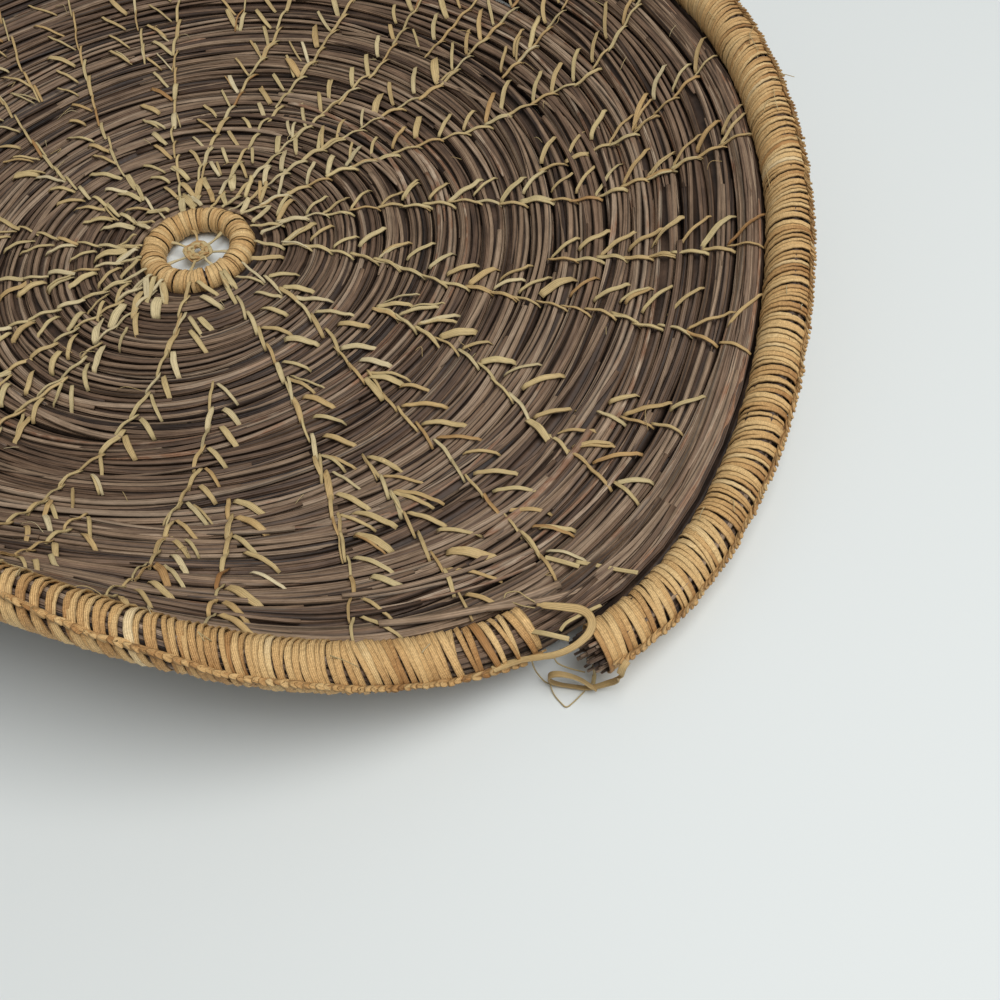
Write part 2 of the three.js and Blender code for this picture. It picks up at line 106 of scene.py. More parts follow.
def sweep(centres, outward, half_width, half_thickness, tone, roll=0.0, section=NEEDLE_SECTION):
    """Strands with a flat six-sided section.

    centres and outward hold (strand, ring, 3). A corner of the section is the centre, plus half_width times the
    section's number sideways, plus half_thickness times its height outward, with sideways at right angles to the
    path and to outward, and both turned by roll. Quads join the rings, and two more close each end.
    """
    shape = centres.shape[:2]
    width, thickness, tone, roll = (np.broadcast_to(value, shape) for value in
                                    (half_width, half_thickness, tone, roll))
    path = unit(np.gradient(centres, axis=1))
    normal = unit(outward - (outward * path).sum(-1, keepdims=True) * path)
    side = np.cross(path, normal)
    turn_cos, turn_sin = np.cos(roll)[..., None], np.sin(roll)[..., None]
    side, normal = side * turn_cos + normal * turn_sin, normal * turn_cos - side * turn_sin
    points = (centres[:, :, None] + (width[..., None] * section)[..., None] * side[:, :, None]
              + (thickness[..., None] * SECTION_HEIGHTS)[..., None] * normal[:, :, None])
    steps = np.linalg.norm(np.diff(centres, axis=1), axis=2)
    along = np.concatenate([np.zeros((shape[0], 1)), np.cumsum(steps, axis=1)], axis=1)

    grid = np.arange(points[..., 0].size).reshape(*shape, SIDES)
    turned = np.roll(grid, -1, axis=2)
    skin = np.stack([grid[:, :-1], grid[:, 1:], turned[:, 1:], turned[:, :-1]], axis=-1)
    ends = [grid[:, 0][:, [0, 1, 2, 3]], grid[:, 0][:, [0, 3, 4, 5]],
            grid[:, -1][:, [3, 2, 1, 0]], grid[:, -1][:, [5, 4, 3, 0]]]
    full = (*shape, SIDES)
    return {
        "points": points.reshape(-1, 3),
        "quads": np.concatenate([skin.reshape(-1, 4), *ends]),
        "along": np.broadcast_to(along[..., None], full).ravel(),
        "across": np.broadcast_to(section, full).ravel(),
        "tone": np.broadcast_to(tone[..., None], full).ravel(),
    }


def ribbons(*given, **named):
    """sweep with the flat section of a split leaf."""
    return sweep(*given, section=RIBBON_SECTION, **named)


# %% From arrays to a piece
FLOOR_CLEARANCE = 0.05


def make_piece(name, parts, material, slot, *nodes, crisp=False):
    """One mesh object from swept parts, in metres, riding on the tray and standing for these solids.

    Nothing goes below the floor. A crisp piece keeps the long edges of its flat sections sharp.
    """
    firsts = np.cumsum([0] + [len(part["points"]) for part in parts[:-1]])
    points = np.concatenate([part["points"] for part in parts])
    points[:, 2] = np.maximum(points[:, 2], FLOOR_CLEARANCE)
    points = points * MM + EYE_CENTRE
    quads = np.concatenate([part["quads"] + first for part, first in zip(parts, firsts)]).astype(np.int32)
    mesh = bpy.data.meshes.new(name)
    mesh.vertices.add(len(points))
    mesh.vertices.foreach_set("co", points.astype(np.float32).ravel())
    mesh.loops.add(quads.size)
    mesh.loops.foreach_set("vertex_index", quads.ravel())
    mesh.polygons.add(len(quads))
    mesh.polygons.foreach_set("loop_start", np.arange(0, quads.size, 4, dtype=np.int32))
    mesh.polygons.foreach_set("use_smooth", np.ones(len(quads), bool))
    for label in ATTRIBUTES:
        values = np.concatenate([part[label] for part in parts]).astype(np.float32)
        mesh.attributes.new(label, "FLOAT", "POINT").data.foreach_set("value", values)
    mesh.update(calc_edges=True)
    if crisp:
        ends = np.empty(2 * len(mesh.edges), np.int32)
        mesh.edges.foreach_get("vertices", ends)
        corner, other = (ends.reshape(-1, 2) % SIDES).T
        mesh.edges.foreach_set("use_edge_sharp", (corner == other) & (corner % 3 != 0))
    mesh.materials.append(material)
    made = bpy.data.objects.new(name, mesh)
    bpy.context.scene.collection.objects.link(made)
    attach(made, "root")
    if nodes:
        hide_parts(*nodes)
    print(name, "triangles:", 2 * len(quads))
    return made


# %% [markdown]
# ## Writing a material as a formula
#
# Node trees are hard to read as lists of links. This small class wraps one output of a node, so that sums and
# products of wires add the Math nodes by themselves, and any other node comes from one method.

# %% Wires
class Wire:
    """An output socket that can be used in arithmetic."""

    def __init__(self, socket):
        self.socket = socket

    def node(self, kind, inputs, output=0, **settings):
        """Adds a node of this kind to the same tree, sets it up, then fills or links its inputs."""
        tree = self.socket.id_data
        made = tree.nodes.new(kind)
        stops = settings.pop("stops", None)
        for name, value in settings.items():
            setattr(made, name, value)
        if stops:
            ramp = made.color_ramp.elements
            while len(ramp) < len(stops):
                ramp.new(1)
            for element, (position, colour) in zip(ramp, stops):
                element.position = position
                element.color = (*colour, 1)
        for name, value in inputs.items():
            if isinstance(value, Wire):
                tree.links.new(value.socket, made.inputs[name])
            else:
                made.inputs[name].default_value = value
        return Wire(made.outputs[output])

    def maths(self, operation, first, second):
        """A Math node of two values or wires."""
        return self.node("ShaderNodeMath", {0: first, 1: second}, operation=operation)

    def __add__(self, other):
        return self.maths("ADD", self, other)

    def __sub__(self, other):
        return self.maths("SUBTRACT", self, other)

    def __rsub__(self, other):
        return self.maths("SUBTRACT", other, self)

    def __mul__(self, other):
        return self.maths("MULTIPLY", self, other)

    __radd__ = __add__
    __rmul__ = __mul__


# %% A strand material
STREAKS = (2.6, 0.05, 3.0)
MOTTLES = (0.5, 0.16, 4.0)
GRAIN = (4.0, 1.1, 2.0)
TONE_STEP = 97.0
RIDGE_SHIFT = 40.0
GRAIN_DEPTH, RIDGE_DEPTH = 0.5, 0.1
MOTTLE_SHIFT = 0.3
GRAIN_ROUGHNESS = 0.25
RIDGE_RELIEF, GRAIN_RELIEF = 0.25, 0.35
RELIEF_DEPTH = 0.0003


def strand_material(name, stops, streak_depth, mottle_depth, ridges, edge_shade_depth, roughness, bump, specular):
    """Plant fibre: a colour ramp over the strand's tone, darkened by streaks, mottling and ridges, and at its edges
    by painted shade for the shadow between strands.

    The streaks are noise stretched along the strand, so they read as fibres. The ridges are a sine across it,
    lighter on its crests and darker in its grooves: partly fibre lines, partly painted light and shade on the
    relief.
    Both also make the bump. The mottling is slower noise that lightens and darkens stretches of a strand. Each
    noise is given as its scale across the strand, its scale along it and its detail.
    """
    material = bpy.data.materials.new(name)
    material.use_nodes = True
    tree = material.node_tree
    tree.nodes.clear()
    output = tree.nodes.new("ShaderNodeOutputMaterial")
    shader = tree.nodes.new("ShaderNodeBsdfPrincipled")
    tree.links.new(shader.outputs[0], output.inputs[0])

    def attribute(label):
        made = tree.nodes.new("ShaderNodeAttribute")
        made.attribute_name = label
        return Wire(made.outputs["Fac"])

    along, across, tone = (attribute(label) for label in ATTRIBUTES)

    def noise(across_scale, along_scale, detail):
        place = tone.node("ShaderNodeCombineXYZ",
                          {0: across * across_scale, 1: along * along_scale, 2: tone * TONE_STEP})
        return tone.node("ShaderNodeTexNoise", {"Vector": place, "Scale": 1.0, "Detail": detail})

    streaks, mottling, grain = noise(*STREAKS), noise(*MOTTLES), noise(*GRAIN)
    # The ridge lightens the crests and darkens the grooves that the bump raises: painted light and shade on the
    # relief, besides fibre lines.
    ridge = tone.node("ShaderNodeMath", {0: across * ridges + tone * RIDGE_SHIFT}, operation="SINE")
    # edge darkens the flat sides of each strand: painted shade standing in for the shadow in the gaps between
    # strands.
    edge = (across * across) * (across * across)
    shade = (1.0 + (streaks - 0.5) * streak_depth) * (1.0 + (mottling - 0.5) * mottle_depth)
    shade = shade * (1.0 + (grain - 0.5) * GRAIN_DEPTH) * (1.0 + ridge * RIDGE_DEPTH) * (1.0 - edge * edge_shade_depth)
    base = tone.node("ShaderNodeValToRGB", {"Fac": tone + (mottling - 0.5) * MOTTLE_SHIFT}, stops=stops)
    colour = tone.node("ShaderNodeVectorMath", {0: base, "Scale": shade}, operation="SCALE")
    tree.links.new(colour.socket, shader.inputs["Base Color"])
    rough = roughness + (grain - 0.5) * GRAIN_ROUGHNESS
    tree.links.new(rough.socket, shader.inputs["Roughness"])
    height = streaks + ridge * RIDGE_RELIEF + grain * GRAIN_RELIEF
    relief = tone.node("ShaderNodeBump", {"Height": height, "Strength": bump, "Distance": RELIEF_DEPTH})
    tree.links.new(relief.socket, shader.inputs["Normal"])
    shader.inputs["Specular IOR Level"].default_value = specular
    return material


# %% Finishes
NEEDLE_FINISH = strand_material(
    "dry needles",
    [(0.0, (0.022, 0.013, 0.009)), (0.18, (0.085, 0.050, 0.031)), (0.42, (0.185, 0.115, 0.071)),
     (0.7, (0.285, 0.193, 0.122)), (0.88, (0.375, 0.272, 0.184)), (0.94, (0.240, 0.118, 0.062)),
     (1.0, (0.42, 0.318, 0.222))],
    streak_depth=1.15, mottle_depth=0.9, ridges=9.0, edge_shade_depth=0.88, roughness=0.56, bump=0.6, specular=0.35)
STITCH_FINISH = strand_material(
    "straw raffia",
    [(0.0, (0.37, 0.175, 0.058)), (0.2, (0.55, 0.362, 0.152)), (0.6, (0.575, 0.452, 0.222)),
     (1.0, (0.71, 0.600, 0.375))],
    streak_depth=0.7, mottle_depth=0.45, ridges=15.0, edge_shade_depth=0.3, roughness=0.55, bump=0.5, specular=0.35)
RIM_FINISH = strand_material(
    "tan raffia",
    [(0.0, (0.42, 0.210, 0.072)), (0.35, (0.67, 0.410, 0.166)), (0.75, (0.78, 0.535, 0.245)),
     (1.0, (0.83, 0.635, 0.355))],
    streak_depth=0.8, mottle_depth=0.45, ridges=13.0, edge_shade_depth=0.6, roughness=0.58, bump=0.6, specular=0.3)
print("finishes:", [finish.name for finish in (NEEDLE_FINISH, STITCH_FINISH, RIM_FINISH)])

# %% [markdown]
# ## The dish and the coil
#
# The coil lies on a dish that is level in the middle and curves up to the rim, low at the break in the rim and
# steep beside it. A spiral could be drawn point by point, but a formula keeps the stitches, the needles and the
# rim on the same surface: a place is a turn number, a distance across the bundle and a height above its middle.

# %% The driving sizes, as in the solids
COIL_TURNS = 20
BUNDLE_WIDTH = 5.25
START_WIDTH = 1.4
START_TAPER = 0.5
TURN_GAP = 0.75
RIM_WIDTH = 10.0
RIM_TAPER = 0.12
START_DEGREES = -57.0
START_AZIMUTH = np.radians(START_DEGREES)
EYE_RADIUS = 11.0
EYE_HALF_WIDTH = 3.0
EYE_HALF_HEIGHT = 2.9
EYE_SEAT = 0.35
SEAT_HEIGHT = 2.05
LEVEL_RADIUS = 50.0
WALL_ARC = 84.5
WALL_SLOPE = 34.0
LOW_SIDE = (-48.0, np.radians(-64))
HIGH_SIDE = (56.0, np.radians(-98))
SIDE_SHARPNESS = 8
EYE_MIDDLE = EYE_HALF_HEIGHT + EYE_SEAT


def blend(value, low, high):
    """0 up to low, 1 from high, and the smooth 3t² - 2t³ between them."""
    share = np.clip((value - low) / (high - low), 0, 1)
    return share * share * (3 - 2 * share)


def half_room(turn):
    """Half of what the bundle takes up across: thin at the start, the full bundle, then the lashed rim."""
    bundle = START_WIDTH + (BUNDLE_WIDTH - START_WIDTH) * blend(turn, 0, START_TAPER)
    return (bundle + (RIM_WIDTH - bundle) * blend(turn, COIL_TURNS - RIM_TAPER, COIL_TURNS)) / 2


# %% Where each turn lies
TURN_SAMPLES = 720
first_turn = np.arange(TURN_SAMPLES) / TURN_SAMPLES
climb = (START_WIDTH + TURN_GAP) * blend(first_turn, START_TAPER, 1)
arcs = [EYE_RADIUS + EYE_HALF_WIDTH + EYE_SEAT + half_room(first_turn) + climb]
for whole in range(COIL_TURNS + 1):
    arcs.append(arcs[-1] + half_room(first_turn + whole) + TURN_GAP + half_room(first_turn + whole + 1))
ARC_TABLE = np.concatenate(arcs)
TURN_TABLE = np.arange(len(ARC_TABLE)) / TURN_SAMPLES


def side_bump(azimuth, centre):
    """1 at the centre azimuth, falling to 0 on the far side: ((1 + cos) / 2) to the power of the sharpness."""
    return ((1 + np.cos(azimuth - centre)) / 2) ** SIDE_SHARPNESS


def coil_point(turn, across, up):
    """The place at a turn number, a distance across the bundle and a height above its middle.

    The distance along the dish comes from the table. The wall is an arc tangent to the level middle: its radius
    is the level radius plus sin(slope) / bend, and its height is (1 - cos(slope)) / bend.
    """
    azimuth = START_AZIMUTH - TAU * turn
    arc = np.interp(turn, TURN_TABLE, ARC_TABLE)
    lower, higher = (change * side_bump(azimuth, centre) for change, centre in (LOW_SIDE, HIGH_SIDE))
    bend = np.radians(WALL_SLOPE + lower + higher) / WALL_ARC
    slope = bend * np.maximum(0, arc - LEVEL_RADIUS)
    radius = np.minimum(arc, LEVEL_RADIUS) + np.sin(slope) / bend + across * np.cos(slope) - up * np.sin(slope)
    height = SEAT_HEIGHT + (1 - np.cos(slope)) / bend + across * np.sin(slope) + up * np.cos(slope)
    return np.stack([radius * np.cos(azimuth), radius * np.sin(azimuth), height], axis=-1)


middle_line = coil_point(TURN_TABLE, 0.0, 0.0)
LENGTH_TABLE = np.concatenate([[0], np.cumsum(np.linalg.norm(np.diff(middle_line, axis=0), axis=1))])
RIM_END = COIL_TURNS + 1.0
LASHING_START, LASHING_STOP = 3.0, 0.3
RIM_START_TURN = COIL_TURNS + LASHING_START / 360
RIM_STOP_TURN = RIM_END + LASHING_STOP / 360
coil_length = np.interp(RIM_END, TURN_TABLE, LENGTH_TABLE)
print("bundle length in metres:", round(coil_length * MM, 2))

# %% [markdown]
# ## Handmade unevenness
#
# Nothing here lies quite where the formula puts it. Noise on every point would look like roughness, so the
# unevenness is slow: the whole bundle sways a little, and each strand wanders by itself on long sine waves.

# %% Sway and wander
SWAY = 0.26
SWAY_UP_SHARE = 0.6
SWAY_STEP = 22.0
sway_random = np.random.default_rng(11)
sway_places = np.arange(0, LENGTH_TABLE[-1] + SWAY_STEP, SWAY_STEP)
sway_across = sway_random.normal(0, SWAY, len(sway_places))
sway_up = sway_random.normal(0, SWAY_UP_SHARE * SWAY, len(sway_places))


def bundle_point(turn, across, up):
    """coil_point, moved by the sway of the bundle at that turn."""
    length = np.interp(turn, TURN_TABLE, LENGTH_TABLE)
    return coil_point(turn, across + np.interp(length, sway_places, sway_across),
                      up + np.interp(length, sway_places, sway_up))


def laid(turn, across, up, lean=(1.0, 1.0), rise=0.0):
    """Places on the bundle, and the way outward there: towards across and up times their leans, raised by rise."""
    centres = bundle_point(turn, across, up)
    return centres, bundle_point(turn, across * lean[0], up * lean[1] + rise) - centres


def wander(place, spans, rng):
    """A smooth random value along each strand: the mean of sine waves of these spans, with random phases."""
    total = np.zeros(place.shape)
    for span in spans:
        total += np.sin(TAU * place / span + rng.uniform(0, TAU, (len(place), 1)))
    return total / len(spans)


# %% [markdown]
# ## The needle bundle
#
# A real bundle holds about a dozen needles, fed in one after another so that each ends somewhere along the coil.
# A striped texture on a bar would look flat at the grooves, so every needle is a strand of its own. They lie
# round the bundle's edge, which is a rounded square, and a heart painted dark as shade fills the middle.

# %% Places round the bundle's edge
SQUARENESS = 3.0
edge_angle = np.linspace(0, TAU, 721)
edge_x = np.sign(np.cos(edge_angle)) * np.abs(np.cos(edge_angle)) ** (2 / SQUARENESS)
edge_y = np.sign(np.sin(edge_angle)) * np.abs(np.sin(edge_angle)) ** (2 / SQUARENESS)
edge_run = np.concatenate([[0], np.cumsum(np.hypot(np.diff(edge_x), np.diff(edge_y)))])
edge_run /= edge_run[-1]
BUNDLE_REACH = (2.35, 1.85)
RIM_REACH = (2.9, 2.6)
FIRST_REACH = (0.2, 0.8)


def edge_place(share, turn):
    """Across and up of a place at this share of the way round the bundle's edge, for the bundle's size there."""
    start = FIRST_REACH[0] + FIRST_REACH[1] * blend(turn, 0, START_TAPER)
    rim = blend(turn, COIL_TURNS - RIM_TAPER, COIL_TURNS)
    across, up = ((low + (high - low) * rim) * start for low, high in zip(BUNDLE_REACH, RIM_REACH))
    return across * np.interp(share % 1, edge_run, edge_x), up * np.interp(share % 1, edge_run, edge_y)


# %% Needles fed in along a stretch of the coil
NEEDLE_FLATNESS = 0.62
NEEDLE_REST = 0.75
NEEDLE_LEAN = (1.4, 1.4)
NEEDLE_ROLL = 0.35
NEEDLE_TONES = (1.9, 1.9)
SPARE_NEEDLES = 1.15
SHORTEST_NEEDLE = 12
CUT_MEAN, CUT_SPREAD = -1.2, 1.1
BUNDLE_TWIST = 0.09
NEEDLE_DRIFT = 0.08
SLOT_WANDER, ACROSS_WANDER, UP_WANDER = 0.032, 0.16, 0.12
LAYER_SPREAD = 0.035
TIP_SHARE, TIP_WIDTH, TIP_POWER = 0.06, 0.22, 0.6
FIRST_WIDTH = (0.45, 0.55)


def feed_needles(slots, lengths, half_widths, first, last, reach, rings, rng):
    """Needles end to end in each slot of the bundle's edge, between two lengths along the coil.

    reach is how far from the bundle's middle they lie, as a multiple of its edge. Each is widest in its middle
    and runs out to a point, and the last ones are cut off unevenly. Under the level middle the lowest ones are
    pressed up, to lie on the floor and not in it. Returns what sweep needs.
    """
    each = int((last - first) / np.mean(lengths) * SPARE_NEEDLES) + 3
    length = rng.uniform(*lengths, (slots, each))
    start = first + np.cumsum(length, axis=1) - length - rng.uniform(0, lengths[0], (slots, 1))
    slot = np.repeat(np.arange(slots) / slots, each)
    length, start = length.ravel(), start.ravel()
    used = (start < last - SHORTEST_NEEDLE) & (start + length > first + SHORTEST_NEEDLE)
    length, start, slot = length[used], start[used], slot[used]
    count = len(slot)
    share = np.linspace(0, 1, rings)
    begin = np.maximum(start, first)[:, None]
    end = np.minimum((start + length)[:, None], last + rng.normal(CUT_MEAN, CUT_SPREAD, (count, 1)))
    place = begin + (end - begin) * share
    turn = np.interp(place, LENGTH_TABLE, TURN_TABLE)
    twist = BUNDLE_TWIST * (np.sin(place / 41) + np.sin(place / 97 + 1))
    drift = rng.normal(0, NEEDLE_DRIFT, (count, 1)) * (share - 0.5)
    across, up = edge_place(slot[:, None] + twist + drift + SLOT_WANDER * wander(place, (60, 140), rng), turn)
    layer = reach * (1 + rng.normal(0, LAYER_SPREAD, (count, 1)))
    across = across * layer + ACROSS_WANDER * wander(place, (35, 80), rng)
    up = up * layer + UP_WANDER * wander(place, (40, 90), rng)
    centres, outward = laid(turn, across, up, NEEDLE_LEAN)
    centres[..., 2] = np.maximum(centres[..., 2], NEEDLE_REST)
    half = rng.uniform(*half_widths, (count, 1)) * np.clip((1 - share) / TIP_SHARE, TIP_WIDTH, 1) ** TIP_POWER
    half = half * (FIRST_WIDTH[0] + FIRST_WIDTH[1] * blend(turn, 0, START_TAPER))
    tone = rng.beta(*NEEDLE_TONES, (count, 1))
    return centres, outward, half, half * NEEDLE_FLATNESS, tone, rng.normal(0, NEEDLE_ROLL, (count, 1))


# %% Needle pieces, each with an equal share of the coil's length
NEEDLE_SLOTS = 13
NEEDLE_RINGS = 52
NEEDLE_LENGTHS = (110.0, 230.0)
NEEDLE_HALF_WIDTHS = (0.48, 0.8)
NEEDLE_GROUPS = ("needles_first", "needles_inner", "needles_middle", "needles_outer", "needles_last")
needle_arrays = feed_needles(NEEDLE_SLOTS, NEEDLE_LENGTHS, NEEDLE_HALF_WIDTHS, 0.0, coil_length, 1.0,
                             NEEDLE_RINGS, np.random.default_rng(23))
needle_middle = np.linalg.norm(needle_arrays[0][:, NEEDLE_RINGS // 2], axis=1)
needle_order = np.array_split(np.argsort(needle_middle), len(NEEDLE_GROUPS))
for group, chosen in zip(NEEDLE_GROUPS, needle_order):
    make_piece(group, [sweep(*(array[chosen] for array in needle_arrays))], NEEDLE_FINISH, "needles", "needle_coil")

# %% More needles in the thick last turn
RIM_SLOTS = 22
RIM_NEEDLE_RINGS = 40
RIM_NEEDLE_LENGTHS = (70.0, 150.0)
RIM_HALF_WIDTHS = (0.42, 0.7)
RIM_NEEDLE_REACH = 1.2
RIM_OVERHANG = 2.2
rim_first = np.interp(COIL_TURNS - 0.3 * RIM_TAPER, TURN_TABLE, LENGTH_TABLE)
rim_arrays = feed_needles(RIM_SLOTS, RIM_NEEDLE_LENGTHS, RIM_HALF_WIDTHS, rim_first, coil_length + RIM_OVERHANG,
                          RIM_NEEDLE_REACH, RIM_NEEDLE_RINGS, np.random.default_rng(29))
make_piece("needles_rim", [sweep(*rim_arrays)], NEEDLE_FINISH, "needles", "needle_coil")

# %% The heart of the bundle, painted dark as shade
HEART_STEP = 5.0
HEART_SCALE = (1.4, 0.6)
# The heart, the bed ring under the first turn and the groove beside the rim get dark tones: painted shade for the
# gaps between bundles, where only shadow shows.
HEART_SHADE_TONE, GAP_SHADE_TONE = 0.1, 0.05
BED_RADIUS, BED_HEIGHT, BED_HALF = 14.6, 1.6, (1.6, 1.1)
GROOVE_TURNS = (COIL_TURNS - 1.1, COIL_TURNS - 0.003)
GROOVE_GAP, GROOVE_DEPTH, GROOVE_HALF = 0.45, -0.8, (1.6, 0.7)
heart_turn = np.interp(np.arange(2, coil_length - 4, HEART_STEP), LENGTH_TABLE, TURN_TABLE)[None]
heart_width = edge_place(np.zeros(heart_turn.shape), heart_turn)[0]
heart_height = edge_place(np.full(heart_turn.shape, 0.25), heart_turn)[1]
heart = sweep(*laid(heart_turn, 0.0, 0.0, rise=1.0), heart_width * HEART_SCALE[0], heart_height * HEART_SCALE[1],
              HEART_SHADE_TONE)
ring_places = np.linspace(0, TAU, 97)[None]
bed_centres = np.stack([BED_RADIUS * np.cos(ring_places), BED_RADIUS * np.sin(ring_places),
                        np.full(ring_places.shape, BED_HEIGHT)], -1)
bed = sweep(bed_centres, np.broadcast_to([0.0, 0, 1], bed_centres.shape), *BED_HALF, GAP_SHADE_TONE)
groove_turn = np.linspace(*GROOVE_TURNS, 200)[None]
groove = sweep(*laid(groove_turn, half_room(groove_turn) + GROOVE_GAP, GROOVE_DEPTH, rise=1.0), *GROOVE_HALF,
               GAP_SHADE_TONE)
make_piece("needle_heart", [heart, bed, groove], NEEDLE_FINISH, "needles", "needle_coil")

# %% [markdown]
# ## Needles at the break
#
# Just before the rim the bundle grows from a dozen needles to several dozen, and they spread like a fan until the
# lashing gathers them. At the cut end of the rim they stick out as a short brush. Both could be hidden by a cap,
# but here they are in plain sight, so each needle end is a strand. Other needles have slipped out of their rows,
# and three broad flat blades lie across the turns.

# %% Needles that fan out where the bundle grows into the rim
FAN_COUNT = 40
FAN_RINGS = 24
FAN_STARTS, FAN_END = (COIL_TURNS - 0.3, COIL_TURNS - 0.15), COIL_TURNS + 0.03
FAN_EDGE, FAN_MARGIN, FAN_GATHER = 0.96, 0.3, 1.1
FAN_HEIGHT, FAN_ROUNDNESS = 2.0, 0.7
FAN_WANDERS = (0.2, 0.15)
FAN_TURN_LENGTH = 600
FAN_HALF_WIDTHS = (0.42, 0.75)
fan_random = np.random.default_rng(37)
fan_share = np.linspace(0, 1, FAN_RINGS)
fan_first = fan_random.uniform(*FAN_STARTS, (FAN_COUNT, 1))
fan_turn = fan_first + (FAN_END - fan_first) * fan_share
fan_place = fan_turn * FAN_TURN_LENGTH
fan_side = np.linspace(-FAN_EDGE, FAN_EDGE, FAN_COUNT)[:, None]
fan_layer = np.where(np.arange(FAN_COUNT) % 3 == 2, -1.0, 1.0)[:, None]
fan_room = half_room(fan_turn) - FAN_MARGIN - FAN_GATHER * blend(fan_turn, COIL_TURNS - 0.015, RIM_START_TURN)
fan_across = fan_side * fan_room + FAN_WANDERS[0] * wander(fan_place, (30, 70), fan_random)
fan_up = (fan_layer * FAN_HEIGHT * np.sqrt(1 - FAN_ROUNDNESS * fan_side ** 2)
          + FAN_WANDERS[1] * wander(fan_place, (40, 90), fan_random))
fan_half = fan_random.uniform(*FAN_HALF_WIDTHS, (FAN_COUNT, 1)) * np.clip(fan_share / 0.1, 0.3, 1)
fan = sweep(*laid(fan_turn, fan_across, fan_up, (1.2, 1.4)), fan_half, fan_half * NEEDLE_FLATNESS,
            fan_random.beta(*NEEDLE_TONES, (FAN_COUNT, 1)), fan_random.normal(0, NEEDLE_ROLL, (FAN_COUNT, 1)))

# %% The frayed brush of needle ends where the rim is cut
BRUSH_COUNT = 64
BRUSH_RINGS = 12
BRUSH_ROOT, BRUSH_OUT = 26, (0.5, 4.6)
BRUSH_REACH = (4.0, 3.6)
BRUSH_WANDER = 0.15
BRUSH_HALF_WIDTHS, BRUSH_HALF_THICKNESS = (0.22, 0.42), 0.24
BRUSH_TONES = (1.6, 2.6)
brush_random = np.random.default_rng(39)
brush_out = brush_random.uniform(*BRUSH_OUT, (BRUSH_COUNT, 1))
brush_place = coil_length - BRUSH_ROOT + (BRUSH_ROOT + brush_out) * np.linspace(0, 1, BRUSH_RINGS)
brush_turn = np.interp(brush_place, LENGTH_TABLE, TURN_TABLE)
brush_angle = brush_random.uniform(0, TAU, (BRUSH_COUNT, 1))
brush_reach = np.sqrt(brush_random.uniform(0.12, 1, (BRUSH_COUNT, 1)))
brush_across = (BRUSH_REACH[0] * brush_reach * np.cos(brush_angle)
                + BRUSH_WANDER * wander(brush_place, (11, 26), brush_random))
brush_up = (BRUSH_REACH[1] * brush_reach * np.sin(brush_angle)
            + BRUSH_WANDER * wander(brush_place, (13, 24), brush_random))
brush = sweep(*laid(brush_turn, brush_across, brush_up, (1.2, 1.2), 0.3),
              brush_random.uniform(*BRUSH_HALF_WIDTHS, (BRUSH_COUNT, 1)), BRUSH_HALF_THICKNESS,
              brush_random.beta(*BRUSH_TONES, (BRUSH_COUNT, 1)))
make_piece("needles_spread", [fan, brush], NEEDLE_FINISH, "needles", "needle_coil")

# %% Stray needles that slipped out of their rows
STRAY_COUNT = 120
STRAY_RINGS = 16
STRAY_FIRST, STRAY_SPAN, STRAY_OUTWARD = 3, 16.3, 0.55
BY_BREAK_SHARE, BY_BREAK_TURNS, BY_BREAK_SPREAD = 0.35, (14, 19), (-0.03, 0.09)
STRAY_LENGTHS = (18, 60)
STRAY_ACROSS, STRAY_SKEW = 2.4, 2.6
STRAY_HEIGHT, STRAY_WANDER, STRAY_EDGE_LIFT = 1.95, 0.14, 0.1
STRAY_HALF_WIDTHS, STRAY_FLATNESS = (0.4, 0.85), 0.5
STRAY_TONES, STRAY_ROLL = (2.4, 1.6), 0.3
stray_random = np.random.default_rng(31)
stray_share = np.linspace(0, 1, STRAY_RINGS)
stray_turn = STRAY_FIRST + STRAY_SPAN * stray_random.random(STRAY_COUNT) ** STRAY_OUTWARD
by_break = stray_random.random(STRAY_COUNT) < BY_BREAK_SHARE
near_turn = (stray_random.integers(*BY_BREAK_TURNS, STRAY_COUNT)
             + stray_random.uniform(*BY_BREAK_SPREAD, STRAY_COUNT))
stray_turn = np.where(by_break, near_turn, stray_turn)[:, None]
stray_length = stray_random.uniform(*STRAY_LENGTHS, (STRAY_COUNT, 1))
stray_place = np.interp(stray_turn, TURN_TABLE, LENGTH_TABLE) + stray_length * (stray_share - 0.5)
stray_turn = np.interp(stray_place, LENGTH_TABLE, TURN_TABLE)
stray_across = (stray_random.uniform(-STRAY_ACROSS, STRAY_ACROSS, (STRAY_COUNT, 1))
                + stray_random.normal(0, STRAY_SKEW, (STRAY_COUNT, 1)) * (stray_share - 0.5))
stray_up = (STRAY_HEIGHT + STRAY_WANDER * wander(stray_place, (30, 70), stray_random)
            + STRAY_EDGE_LIFT * np.abs(stray_across))
stray_half = (stray_random.uniform(*STRAY_HALF_WIDTHS, (STRAY_COUNT, 1))
              * np.clip((1 - stray_share) / 0.08, 0.2, 1) ** TIP_POWER)
strays = sweep(*laid(stray_turn, stray_across, stray_up, rise=1.0), stray_half, stray_half * STRAY_FLATNESS,
               stray_random.beta(*STRAY_TONES, (STRAY_COUNT, 1)),
               stray_random.normal(0, STRAY_ROLL, (STRAY_COUNT, 1)))

